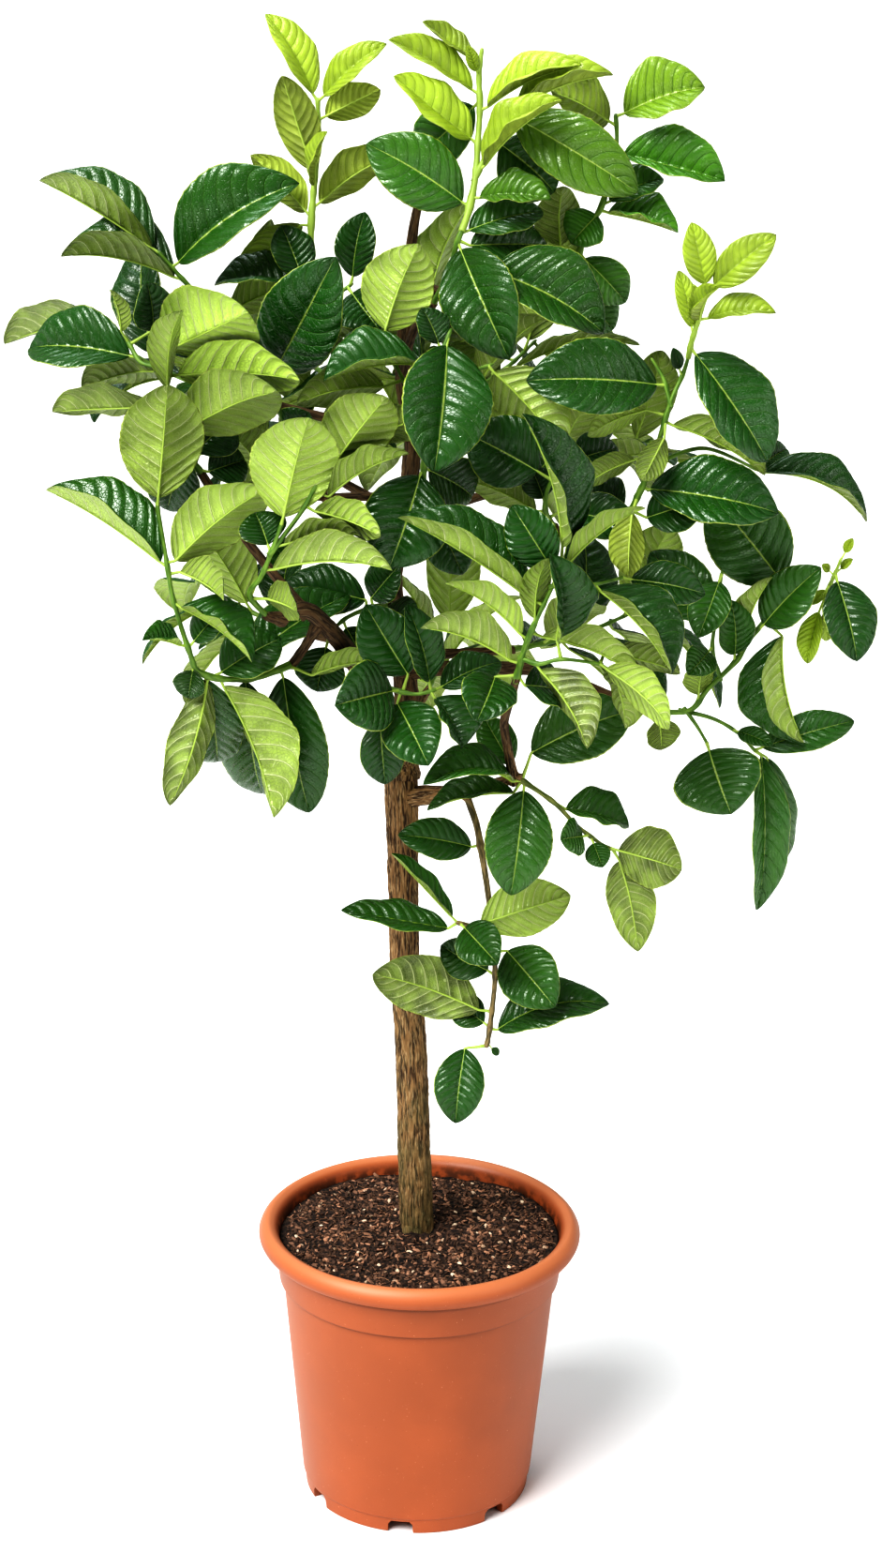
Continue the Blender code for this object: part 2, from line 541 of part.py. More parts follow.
def notch_cutter(angle):
    """Make the block, rounded at the top, that cuts one notch in the pot's foot."""
    half = NOTCH_WIDTH / 2.0
    shoulder = NOTCH_HEIGHT * 0.7
    outline = [(-half, -0.004), (half, -0.004), (half * 0.94, shoulder), (half * 0.70, NOTCH_HEIGHT),
               (-half * 0.70, NOTCH_HEIGHT), (-half * 0.94, shoulder)]
    out = foot_heading(angle)
    along = Vector((out.y, -out.x, 0.0))
    corners = []
    for radius in (FOOT_INNER_RADIUS - 0.006, FOOT_RADIUS + 0.006):
        corners += [out * radius + along * side + Vector((0.0, 0.0, height)) for side, height in outline]
    count = len(outline)
    faces = [list(range(count)), list(range(2 * count - 1, count - 1, -1))]
    for step in range(count):
        after = (step + 1) % count
        faces.append([step, step + count, after + count, after])
    return outward(new_object("notch", corners, faces))


def drain_cutter(angle):
    """Make the short rod that cuts one drain hole in the pot's floor."""
    rod, faces = turned([(0.0, FLOOR_UNDER - 0.003), (DRAIN_RADIUS, FLOOR_UNDER - 0.003),
                         (DRAIN_RADIUS, FLOOR_TOP + 0.003), (0.0, FLOOR_TOP + 0.003)], 6)
    shift = foot_heading(angle) * DRAIN_CIRCLE
    return outward(new_object("drain", [corner + shift for corner in rod], faces))


def outward(thing):
    """Turn an object's faces so that they all point out."""
    mesh = bmesh.new()
    mesh.from_mesh(thing.data)
    bmesh.ops.recalc_face_normals(mesh, faces=mesh.faces)
    mesh.to_mesh(thing.data)
    mesh.free()
    return thing


def inner_radius(height):
    """Return the pot's inner radius at a height above its floor."""
    share = (height - FLOOR_TOP) / (COLLAR_TOP - FLOOR_TOP)
    return INNER_FOOT_RADIUS + share * (INNER_TOP_RADIUS - INNER_FOOT_RADIUS)


def make_pot():
    """Make the pot: foot with notches, tapered wall, collar and rolled rim."""
    profile = [
        (0.0, FLOOR_UNDER), (FOOT_INNER_RADIUS - 0.0005, FLOOR_UNDER), (FOOT_INNER_RADIUS, 0.0),
        (FOOT_RADIUS, 0.0), (FOOT_RADIUS + 0.0010, FOOT_HEIGHT), (WALL_FOOT_RADIUS, FOOT_HEIGHT + 0.0014),
        (WALL_TOP_RADIUS, COLLAR_FOOT - 0.0004), (WALL_TOP_RADIUS + 0.0027, COLLAR_FOOT + 0.0010),
        (COLLAR_RADIUS, COLLAR_TOP - 0.0030), (RIM_RADIUS - 0.0070, COLLAR_TOP),
        (RIM_RADIUS - 0.0022, COLLAR_TOP + 0.0030), (RIM_RADIUS, COLLAR_TOP + 0.0090),
        (RIM_RADIUS - 0.0024, COLLAR_TOP + 0.0150), (RIM_RADIUS - 0.0075, RIM_TOP),
        (RIM_INNER_RADIUS, RIM_TOP - 0.0045),
        (INNER_TOP_RADIUS, COLLAR_TOP), (INNER_FOOT_RADIUS, FLOOR_TOP), (0.0, FLOOR_TOP)]
    corners, faces = turned(profile, POT_SIDES)
    pot = outward(new_object("pot", corners, faces))
    spacing = 2.0 * math.pi / NOTCH_COUNT
    cutters = []
    for number in range(NOTCH_COUNT):
        cutters.append(notch_cutter(NOTCH_FIRST + number * spacing))
        cutters.append(drain_cutter(NOTCH_FIRST + (number + 0.5) * spacing))
    combine("pot", pot, cutters, "DIFFERENCE")
    finish(pot, principled("terracotta_plastic", TERRACOTTA, 0.5))


def soil_height(radius, angle):
    """Return the height of the soil's uneven top."""
    bump = math.sin(3.0 * angle + 60.0 * radius) + math.sin(5.0 * angle - 90.0 * radius + 1.3)
    return SOIL_TOP + SOIL_BUMP * bump - SOIL_FALL * (radius / RIM_INNER_RADIUS) ** 4


def make_soil():
    """Make the soil, with a plain pocket that the trunk's foot stands in."""
    step_angle = 2.0 * math.pi / POT_SIDES
    pocket = (TRUNK_FOOT_RADIUS + GAP) / math.cos(math.pi / POT_SIDES)
    edge_gap = GAP / math.cos(math.pi / POT_SIDES)
    middle = TRUNK_FOOT_CENTRE
    rings = [("pocket", pocket, TRUNK_FOOT - GAP), ("pocket", pocket, None)]
    rings += [("top", radius, None) for radius in SOIL_RINGS]
    rings += [("top", inner_radius(SOIL_EDGE) - edge_gap, SOIL_EDGE),
              ("top", INNER_FOOT_RADIUS - edge_gap, FLOOR_TOP + GAP)]
    corners = []
    for kind, radius, height in rings:
        for step in range(POT_SIDES):
            angle = step * step_angle
            z = soil_height(radius, angle) if height is None else height
            spot = Vector((radius * math.cos(angle), radius * math.sin(angle), z))
            if kind == "pocket":
                spot += Vector((middle.x, middle.y, 0.0))
            corners.append(spot)
    faces = []
    for ring in range(len(rings) - 1):
        for step in range(POT_SIDES):
            after = (step + 1) % POT_SIDES
            low, high = ring * POT_SIDES, (ring + 1) * POT_SIDES
            faces.append([low + step, low + after, high + after, high + step])
    faces.append(list(range(POT_SIDES)))
    faces.append(list(range((len(rings) - 1) * POT_SIDES, len(rings) * POT_SIDES)))
    soil = outward(new_object("soil", corners, faces))
    finish(soil, principled("soil", SOIL_BROWN, 0.95))


# Stems, leaves and wood

def tube(route, radii, sides, first_heading=None, last_heading=None):
    """Return the corners and faces of a closed tube along a route, flat at both ends."""
    corners = []
    side = None
    for spot, centre in enumerate(route):
        before = route[max(spot - 1, 0)]
        after = route[min(spot + 1, len(route) - 1)]
        heading = (after - before).normalized()
        if spot == 0 and first_heading is not None:
            heading = first_heading
        if spot == len(route) - 1 and last_heading is not None:
            heading = last_heading
        if side is None:
            side = heading.orthogonal().normalized()
        side = (side - heading * side.dot(heading)).normalized()
        other = heading.cross(side)
        for step in range(sides):
            angle = 2.0 * math.pi * step / sides
            corners.append(centre + radii[spot] * (math.cos(angle) * side + math.sin(angle) * other))
    faces = [list(range(sides - 1, -1, -1))]
    for ring in range(len(route) - 1):
        low, high = ring * sides, (ring + 1) * sides
        for step in range(sides):
            after = (step + 1) % sides
            faces.append([low + step, low + after, high + after, high + step])
    faces.append([(len(route) - 1) * sides + step for step in range(sides)])
    return corners, faces


# A shoot's stems in space, and the way its main stem's end faces where a younger one carries on.
Stems = namedtuple("Stems", "routes radius end_heading")

# A leaf in space: `root` in its stem, blade from `base` to `tip`, `face` the way its upper side looks.
Placed = namedtuple("Placed", "root base tip face width fold bow")


def blade_width(share):
    """Return a citron blade's half width at a share of its length, as a share of its greatest."""
    widest = BLADE_BASE_POWER / (BLADE_BASE_POWER + BLADE_TIP_POWER)
    greatest = widest ** BLADE_BASE_POWER * (1.0 - widest) ** BLADE_TIP_POWER
    return share ** BLADE_BASE_POWER * (1.0 - share) ** BLADE_TIP_POWER / greatest


def blade_points(placed, share):
    """Return the left margin, the midrib, the right margin and the upward direction at a share."""
    length = placed.tip - placed.base
    heading = length.normalized()
    side = heading.cross(placed.face)
    rise = placed.face * (placed.bow * length.length * 4.0 * share * (1.0 - share))
    middle = placed.base + length * share + rise
    half = 0.5 * placed.width * blade_width(share)
    out = side * (half * math.cos(placed.fold))
    up = placed.face * (half * math.sin(placed.fold))
    return middle - out + up, middle, middle + out + up


def leaf_shell(placed, thickness, petiole=True):
    """Return the corners and faces of a leaf: petiole, blade and pointed tip, closed."""
    blade = placed.tip - placed.base
    side = blade.normalized().cross(placed.face)
    slant = (placed.base - placed.root).normalized()
    root_side = (side - slant * side.dot(slant)).normalized() * PETIOLE_RADIUS
    root_face = root_side.cross(slant)
    corners = []
    faces = []
    stations = SMALL_BLADE_STATIONS if blade.length < SMALL_BLADE else BLADE_STATIONS
    first = 0
    if petiole:
        first = 6
        for centre in (placed.root, placed.base):
            corners += [centre - root_side - root_face * 0.5, centre + root_face,
                        centre + root_side - root_face * 0.5]
        faces += [[0, 1, 2], [0, 3, 4, 1], [1, 4, 5, 2], [2, 5, 3, 0], [3, 6, 4], [4, 6, 7],
                  [5, 4, 8], [4, 7, 8], [9, 6, 3], [9, 3, 5], [5, 8, 9]]
    else:
        stations = (0.12,) + stations
        faces += [[0, 1, 2], [0, 2, 3]]
    for share in stations:
        left, middle, right = blade_points(placed, share)
        lift = placed.face * (0.5 * thickness)
        corners += [left, middle + lift, right, middle - lift]
    last = len(corners) - 4
    for low in range(first, last, 4):
        high = low + 4
        faces += [[low, high, low + 1], [low + 1, high, high + 1],
                  [low + 2, low + 1, high + 2], [low + 1, high + 1, high + 2],
                  [low + 3, high, low], [low + 3, high + 3, high],
                  [low + 3, low + 2, high + 2], [low + 3, high + 2, high + 3]]
    corners.append(placed.tip)
    tip = len(corners) - 1
    faces += [[last, tip, last + 1], [last + 1, tip, last + 2], [last + 2, tip, last + 3],
              [last + 3, tip, last]]
    return corners, faces


def box_of(corners):
    """Return the lowest and highest corner of a set of points."""
    lowest = Vector([min(corner[axis] for corner in corners) for axis in range(3)])
    highest = Vector([max(corner[axis] for corner in corners) for axis in range(3)])
    return lowest, highest


class Solid:
    """A closed shape that new leaves are tested against."""

    def __init__(self, owner, shape):
        corners, faces = shape
        self.owner = owner
        self.low, self.high = box_of(corners)
        self.tree = BVHTree.FromPolygons(corners, faces, epsilon=0.0)

    def meets(self, other):
        """Tell whether the two shapes' surfaces cross."""
        for axis in range(3):
            if self.low[axis] > other.high[axis] or other.low[axis] > self.high[axis]:
                return False
        return bool(self.tree.overlap(other.tree))


class Crown:
    """Every stem and leaf placed so far."""

    def __init__(self):
        self.solids = []
        self.blades = []
        self.leaves = {}

    def clear_of_rest(self, owner, placed):
        """Tell whether a leaf would keep clear of all that is placed."""
        whole = Solid(owner, leaf_shell(placed, TEST_THICKNESS))
        for other in self.solids:
            if other.owner != owner and whole.meets(other):
                return False
        blade = Solid(owner, leaf_shell(placed, TEST_THICKNESS, petiole=False))
        return not any(blade.meets(other) for other in self.blades)

    def add_leaf(self, owner, choices):
        """Place the first of a leaf's choices that keeps clear, or leave it out."""
        for placed in choices:
            if self.clear_of_rest(owner, placed):
                self.solids.append(Solid(owner, leaf_shell(placed, TEST_THICKNESS)))
                self.blades.append(Solid(owner, leaf_shell(placed, TEST_THICKNESS, petiole=False)))
                self.leaves.setdefault(owner, []).append(placed)
                return


def closest_on(stems, px, py):
    """Return the point in the picture, with its nearness, of the stems that lies closest to a pixel."""
    best = None
    for stem in stems:
        for start, end in zip(stem, stem[1:]):
            along = Vector((end[0] - start[0], end[1] - start[1]))
            offset = Vector((px - start[0], py - start[1]))
            share = min(max(offset.dot(along) / along.length_squared, FIRST_ROOT), 1.0)
            spot = [a + (b - a) * share for a, b in zip(start, end)]
            distance = math.hypot(px - spot[0], py - spot[1])
            if best is None or distance < best[0]:
                best = (distance, spot)
    return best[1]


def turned_face(heading, towards_eye, turn):
    """Return the way an upper side looks: at the eye, turned by so much towards the picture's top."""
    face = (towards_eye - heading * towards_eye.dot(heading)).normalized()
    upward = face.cross(heading)
    if upward.z < 0.0:
        upward = -upward
    return math.cos(turn) * face + math.sin(turn) * upward


def place_leaf(leaf, stems, more_toward, more_base, more_turn, size=1.0):
    """Put a leaf of the table in space, with its tip, base and turn changed by so much."""
    spot = closest_on(stems, *leaf.base)
    root = seen(*spot)
    base = seen(*leaf.base, spot[2] + more_base)
    tip = seen(*leaf.tip, spot[2] + leaf.toward + more_toward)
    petiole = base - root
    heading = (tip - base).normalized()
    if petiole.length < PETIOLE_SHORTEST or petiole.normalized().dot(heading) < PETIOLE_BEND:
        base = root + heading * max(petiole.length, PETIOLE_SHORTEST)
        heading = (tip - base).normalized()
    tip = base + (tip - base) * size
    face = turned_face(heading, (EYE - base).normalized(), math.radians(leaf.turn + more_turn))
    return Placed(root, base, tip, face, leaf.width * MM * size, math.radians(leaf.fold), leaf.bow)


def leaf_choices(leaf, stems):
    """Yield ways to place a leaf: as it is seen, then nearer, farther, turned or a little smaller."""
    for size in ROOM_SIZES:
        for more_turn in ROOM_TURNS:
            for more_base in ROOM_BASES:
                for more_toward in ROOM_TIPS:
                    yield place_leaf(leaf, stems, more_toward, more_base, more_turn, size)


def hidden_route(hidden):
    """Return a hidden shoot's wood and stem routes: out from the leader, then gently upwards."""
    angle = math.radians(hidden.heading)
    out = Vector((math.cos(angle), math.sin(angle), 0.0))
    leader = [seen(*point) for point in LIMBS["leader"][0]]
    height = hidden.height * MM
    start = min(leader, key=lambda point: abs(point.z - height))
    reach = hidden.reach * MM
    lift = Vector((0.0, 0.0, hidden.rise * MM))
    wood = [start, start + out * reach * 0.5 + lift * 0.45, start + out * reach + lift]
    slope = (out + Vector((0.0, 0.0, 0.15 + 2.0 * hidden.rise * MM))).normalized()
    stem = [wood[-1] + slope * HIDDEN_STEM * share + Vector((0.0, 0.0, curve))
            for share, curve in HIDDEN_STEM_CURVE]
    return wood, stem


def along(route, share):
    """Return the point at a share of a route's length."""
    lengths = [(b - a).length for a, b in zip(route, route[1:])]
    left = share * sum(lengths)
    for start, end, length in zip(route, route[1:], lengths):
        if left <= length:
            return start + (end - start) * (left / length)
        left -= length
    return route[-1].copy()


def hidden_choices(stem, number, draw):
    """Yield ways to place one leaf of a hidden shoot: spiralling out from the stem, then varied."""
    share = FIRST_ROOT + (1.0 - FIRST_ROOT) * number / (HIDDEN_LEAVES - 1)
    root = along(stem, share)
    axis = (stem[-1] - stem[0]).normalized()
    spiral = SPIRAL_STEP * number + draw.uniform(-SPIRAL_STRAY, SPIRAL_STRAY)
    length = draw.uniform(*HIDDEN_LENGTHS)
    width = length * draw.uniform(*HIDDEN_WIDTHS)
    droop = draw.uniform(*HIDDEN_DROOPS)
    fold = math.radians(draw.uniform(*HIDDEN_FOLDS))
    for turn in (0.0, 0.5, -0.5, 1.0, -1.0, 1.6, -1.6):
        for tilt in (0.0, 0.35, -0.35, 0.7):
            for size in (1.0, 0.8):
                flat = Vector((0.0, 0.0, 1.0)).cross(axis).normalized()
                up = axis.cross(flat)
                angle = spiral + turn
                sideways = math.cos(angle) * flat + math.sin(angle) * up
                heading = (axis * (0.45 + tilt) + sideways + Vector((0.0, 0.0, droop))).normalized()
                base = root + heading * HIDDEN_PETIOLE
                face = Vector((0.0, 0.0, 1.0)) + axis * 0.5
                face = (face - heading * face.dot(heading)).normalized()
                tip = base + heading * length * size
                yield Placed(root, base, tip, face, width * size, fold, HIDDEN_BOW)


def lay_out_crown():
    """Place all stems and leaves; return the crown, the stem tubes and the wood tubes."""
    crown = Crown()
    stems = {}
    wood = []
    headings = {shoot.stems[0][0]: (seen(*shoot.stems[0][1]) - seen(*shoot.stems[0][0])).normalized()
                for shoot in SHOOTS.values()}
    for name, shoot in SHOOTS.items():
        routes = [[seen(*point) for point in stem] for stem in shoot.stems]
        stems[name] = Stems(routes, shoot.radius * MM, headings.get(shoot.stems[0][-1]))
    for route, radii in LIMBS.values():
        points = [seen(*point) for point in route]
        wood.append((points, [radius * MM for radius in radii], LIMB_SIDES, headings.get(route[-1])))
    for name, shoot in SHOOTS.items():
        if name in SPURS:
            spur, radius = SPURS[name]
            points = [seen(*point) for point in spur]
            thick = [radius * SPUR_FLARE * MM] + [radius * MM] * (len(points) - 1)
            wood.append((points, thick, TWIG_SIDES, headings[spur[-1]]))
    for name, hidden in HIDDEN_SHOOTS.items():
        route, stem = hidden_route(hidden)
        stems[name] = Stems([stem], HIDDEN_STEM_RADIUS, None)
        wood.append((route, HIDDEN_WOOD_RADII, TWIG_SIDES, (stem[1] - stem[0]).normalized()))
    for name, group in stems.items():
        for shape in stem_tubes(group):
            crown.solids.append(Solid(name, shape))
    for points, radii, sides, last in wood:
        crown.solids.append(Solid("wood", tube(points, radii, sides, last_heading=last)))
    for name, shoot in SHOOTS.items():
        for leaf in shoot.leaves:
            crown.add_leaf(name, leaf_choices(leaf, shoot.stems))
    draw = random.Random(CROWN_SEED)
    for name in HIDDEN_SHOOTS:
        for number in range(HIDDEN_LEAVES):
            crown.add_leaf(name, hidden_choices(stems[name].routes[0], number, draw))
    return crown, stems, wood


def stem_tubes(group):
    """Return a shoot's stems as tubes: the main one starts a hair's breadth off what carries it."""
    shapes = []
    for number, route in enumerate(group.routes):
        points = list(route)
        heading = (points[1] - points[0]).normalized()
        if number == 0:
            points[0] = points[0] + heading * GAP
        scale = 1.0 if number == 0 else SIDE_STEM_SHARE
        last = len(points) - 1
        radii = [group.radius * scale * (1.0 - STEM_TAPER * spot / last) for spot in range(last + 1)]
        end = group.end_heading if number == 0 else None
        shapes.append(tube(points, radii, TWIG_SIDES, first_heading=heading, last_heading=end))
    return shapes


def trunk_points():
    """Return the trunk's route, from its foot in the soil to its head."""
    foot = [TRUNK_FOOT_CENTRE + Vector((0.0, 0.0, height)) for height in (TRUNK_FOOT, SOIL_TOP + GAP)]
    return foot + [seen(*point) for point in TRUNK_ROUTE]


def make_wood(wood):
    """Make the trunk and its limbs as one grown piece."""
    main = new_object("trunk", *tube(trunk_points(), TRUNK_RADII, TRUNK_SIDES,
                                     first_heading=Vector((0.0, 0.0, 1.0))))
    others = []
    for points, radii, sides, last in wood:
        others.append(new_object("limb", *tube(points, radii, sides, last_heading=last)))
    combine("trunk_and_limbs", main, others, "UNION")
    finish(main, principled("bark", BARK, 0.85), 60.0)


def make_shoots(crown, stems):
    """Make each leafy shoot: its stems and leaves fused into one body."""
    green = principled("leaf_green", LEAF_GREEN, 0.35)
    lime = principled("young_leaf", YOUNG_LIME, 0.45)
    for name, group in stems.items():
        shapes = stem_tubes(group)
        main = new_object(name, *shapes[0])
        others = [new_object("stem", *shape) for shape in shapes[1:]]
        for placed in crown.leaves.get(name, []):
            others.append(new_object("leaf", *leaf_shell(placed, BLADE_MIDDLE)))
        combine(name + "_shoot", main, others, "UNION")
        young = name in SHOOTS and SHOOTS[name].young
        finish(main, lime if young else green, 30.0)


def main():
    """Build the potted tree."""
    clear_scene()
    make_pot()
    make_soil()
    crown, stems, wood = lay_out_crown()
    make_wood(wood)
    make_shoots(crown, stems)


main()
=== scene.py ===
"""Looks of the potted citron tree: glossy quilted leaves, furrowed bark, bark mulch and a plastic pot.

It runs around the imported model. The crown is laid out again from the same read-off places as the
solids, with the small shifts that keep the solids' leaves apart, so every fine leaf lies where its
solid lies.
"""

import math
import random
from collections import namedtuple

import bmesh
import bpy
import numpy as np
from bpy.props import FloatProperty, FloatVectorProperty, IntProperty, PointerProperty
from mathutils import Matrix, Vector, noise


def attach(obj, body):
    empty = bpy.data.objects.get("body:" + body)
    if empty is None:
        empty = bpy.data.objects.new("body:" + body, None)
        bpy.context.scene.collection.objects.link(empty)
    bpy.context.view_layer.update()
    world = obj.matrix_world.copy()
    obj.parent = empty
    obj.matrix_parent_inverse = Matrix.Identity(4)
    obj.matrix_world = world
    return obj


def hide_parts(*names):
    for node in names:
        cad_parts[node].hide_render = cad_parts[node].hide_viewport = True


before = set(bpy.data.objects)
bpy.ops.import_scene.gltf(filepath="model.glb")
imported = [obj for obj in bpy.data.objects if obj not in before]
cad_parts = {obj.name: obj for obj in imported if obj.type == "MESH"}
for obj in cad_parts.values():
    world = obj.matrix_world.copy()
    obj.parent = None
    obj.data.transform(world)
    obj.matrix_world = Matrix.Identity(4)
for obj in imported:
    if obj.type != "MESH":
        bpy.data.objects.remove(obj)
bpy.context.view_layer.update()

bl_info = {
    "name": "Potted citron tree",
    "version": (1, 0, 0),
    "blender": (4, 5, 0),
    "location": "View3D > Sidebar > Citron tree",
    "description": "Makes the fine leaves, bark, soil and pot around the packed tree",
    "category": "Object",
}

MM = 0.001
FULL_TURN = 2.0 * math.pi
UP = Vector((0.0, 0.0, 1.0))

# The eye that the photograph was taken from
EYE = Vector((0.0124, -2.269, 1.343))
EYE_PITCH = math.radians(18.05)
EYE_ROLL = math.radians(-0.79)
EYE_FOCAL = 3300.0
PICTURE_CENTRE = (470.5, 836.0)
PICTURE_HEIGHT = 1672.0
AHEAD = Vector((0.0, math.cos(EYE_PITCH), -math.sin(EYE_PITCH)))
BELOW = Vector((0.0, -math.sin(EYE_PITCH), -math.cos(EYE_PITCH)))

# Pot
RIM_RADIUS = 0.130
RIM_TOP = 0.2345
RIM_INNER_RADIUS = 0.1149
COLLAR_TOP = 0.2155
COLLAR_FOOT = 0.1860
COLLAR_RADIUS = 0.1175
WALL_TOP_RADIUS = 0.1105
WALL_FOOT_RADIUS = 0.0940
INNER_TOP_RADIUS = 0.1120
INNER_FOOT_RADIUS = 0.0890
FLOOR_TOP = 0.0170
FLOOR_UNDER = 0.0135
FOOT_RADIUS = 0.0915
FOOT_INNER_RADIUS = 0.0850
FOOT_HEIGHT = 0.0122
NOTCH_COUNT = 7
NOTCH_FIRST = math.radians(-7.6)
NOTCH_HALF = 0.0105
# A notch's outline, as shares of half its width and heights
NOTCH_OUTLINE = ((-1.0, -0.0040), (1.0, -0.0040), (0.94, 0.00735), (0.70, 0.0105), (-0.70, 0.0105),
                 (-0.94, 0.00735))
# How far the cutters stand out past what they cut
NOTCH_REACH = 0.006
DRAIN_CIRCLE = 0.070
DRAIN_RADIUS = 0.005
DRAIN_REACH = 0.003
DRAIN_SIDES = 6
# The pot's outline, outer skin first, as (radius, height, rounding) from the middle of its underside
POT_PROFILE = [
    (0.0, FLOOR_UNDER, 0.0), (FOOT_INNER_RADIUS - 0.0005, FLOOR_UNDER, 0.0010),
    (FOOT_INNER_RADIUS, 0.0, 0.0004), (FOOT_RADIUS, 0.0, 0.0009),
    (FOOT_RADIUS + 0.0010, FOOT_HEIGHT, 0.0007), (WALL_FOOT_RADIUS, FOOT_HEIGHT + 0.0014, 0.0012),
    (WALL_TOP_RADIUS - 0.0004, COLLAR_FOOT + 0.0004, 0.0002),
    (WALL_TOP_RADIUS + 0.0026, COLLAR_FOOT, 0.0010), (COLLAR_RADIUS, COLLAR_TOP + 0.0008, 0.0004),
    (RIM_RADIUS - 0.0070, COLLAR_TOP, 0.0016), (RIM_RADIUS - 0.0022, COLLAR_TOP + 0.0030, 0.0030),
    (RIM_RADIUS + 0.0004, COLLAR_TOP + 0.0090, 0.0060), (RIM_RADIUS - 0.0022, COLLAR_TOP + 0.0152, 0.0040),
    (RIM_RADIUS - 0.0075, RIM_TOP + 0.0002, 0.0050), (RIM_INNER_RADIUS, RIM_TOP - 0.0045, 0.0040),
    (INNER_TOP_RADIUS, COLLAR_TOP, 0.0040), (INNER_FOOT_RADIUS, FLOOR_TOP, 0.0030),
    (0.0, FLOOR_TOP, 0.0)]
ROUNDING_STEPS = 5
SHARP_ANGLE = math.radians(35.0)
ROUNDING_SHARE = 0.45
# Painted highlight: the paler colour laid on the outer part of the rim's bead
BEAD_HIGHLIGHT = (0.50, 0.195, 0.090)
# Painted shade in the pot's two grooves, under the bead and below the collar: height, and how far each fades
GROOVE_SHADOWS = ((COLLAR_TOP - 0.0022, 0.0040), (COLLAR_FOOT - 0.0004, 0.0020))

# Soil
GAP = 0.0003
SOIL_TOP = 0.2255
SOIL_BUMP = 0.0011
SOIL_FALL = 0.0040
SOIL_EDGE = SOIL_TOP - 0.0050
SOIL_SINK = 0.0012
SOIL_SECTORS = 150
SOIL_RINGS = 58
SOIL_FIRST_RING = 0.006
# How many lumps there are to a metre, and how high they are beside each other
SOIL_LUMPS = ((130.0, 0.7), (300.0, 0.56), (650.0, 0.35))
# The ring of soil that the crumbs lie on
BED_EDGE = 0.1085
BED_MIDDLE = 0.0150
# Crumbs on the soil: the setting with their density, least and greatest size, tilt, fineness of a crumb
# or radius of a fibre, spacing, roughening, and colours from dark to light, darker the higher the last
Crumb = namedtuple("Crumb", "name setting smallest largest tilt fineness radius spacing roughening dark "
                            "light darkness")
CRUMBS = (
    Crumb("bark_chips", "chips", (0.0008, 0.0006, 0.0004), (0.0042, 0.0022, 0.0012), 0.8, 1, 0.0,
          0.0018, 0.0020, (0.012, 0.006, 0.004), (0.44, 0.245, 0.155), 3.0),
    Crumb("fibres", "fibres", (0.004, -0.006, 0.001), (0.014, 0.006, 0.004), 0.25, 0, 0.00026,
          0.003, 0.0, (0.030, 0.015, 0.009), (0.46, 0.26, 0.15), 2.0),
    Crumb("pale_grains", "grains", (0.0008, 0.0007, 0.0006), (0.0032, 0.0023, 0.0016), 0.8, 2, 0.0,
          0.009, 0.0014, (0.30, 0.18, 0.11), (0.80, 0.66, 0.50), 1.2))
FIBRE_BEND = {"Resolution": 5, "Start": (-0.5, 0.0, 0.0), "Middle": (0.0, 0.7, 0.3), "End": (0.5, 0.0, 0.0)}
CRUMB_SOCKETS = (("Geometry", "INPUT", "NodeSocketGeometry"), ("Geometry", "OUTPUT", "NodeSocketGeometry"),
                 ("Density", "INPUT", "NodeSocketFloat"), ("Spacing", "INPUT", "NodeSocketFloat"),
                 ("Seed", "INPUT", "NodeSocketInt"), ("Roughening", "INPUT", "NodeSocketFloat"),
                 ("Finish", "INPUT", "NodeSocketMaterial"))

# Wood
TRUNK_FEET = [Vector((-0.0020, 0.0050, height)) for height in (0.165, SOIL_TOP + GAP)]
TRUNK_FOOT_RADIUS = 0.0134
LIMB_SIDES = 30
TWIG_SIDES = 18
WOOD_STEP = 0.0022
WOOD_START = 0.0020
WOOD_END = 0.0012
WOOD_FLARE = 0.45
WOOD_FLARE_REACH = 0.010
SPUR_FLARE = 1.25
# Bark: how far its ridges wander, how many there are to a metre across and along it, how steep they are
WANDER = 0.0016
WANDER_WAVES = Vector((90.0, 90.0, 60.0))
WIDE_RIDGES = Vector((330.0, 330.0, 62.0))
FINE_RIDGES = Vector((760.0, 760.0, 150.0))
FINE_START = Vector((0.0, 0.0, 7.0))
FINE_SHARE = 0.45
RIDGE_SLOPE = 3.0
RIDGE_HEIGHT = 0.75
RIDGE_SINK = 0.55
# Wood at least this thick has furrows of full depth
FULL_BARK = 0.010
WOOD_SWELLING = 0.045
WOOD_SWELLINGS = 55.0
HIDDEN_WOOD_RADII = (0.0045, 0.0036, 0.0030)
# The healed stub on the left of the trunk's head
KNOB = (411, 822, 4)
KNOB_HEIGHT = 0.0032
KNOB_REACH = 0.0075

# Stems
STEM_SIDES = 12
STEM_STEP = 0.0028
STEM_START = 0.0030
STEM_END = 0.0016
STEM_TIP_SHARE = 0.3
STEM_TAPER = 0.45
SIDE_STEM_SHARE = 0.8
STEM_SWELLING = 0.30
SWELLING_REACH = 0.0035
SWELLING_MOST = 1.2
STEM_WAVE = 0.07
STEM_WAVES = 260.0

# Leaves
BLADE_BASE_POWER = 0.70
BLADE_TIP_POWER = 0.76
PETIOLE_SHORTEST = 0.006
PETIOLE_BEND = 0.25
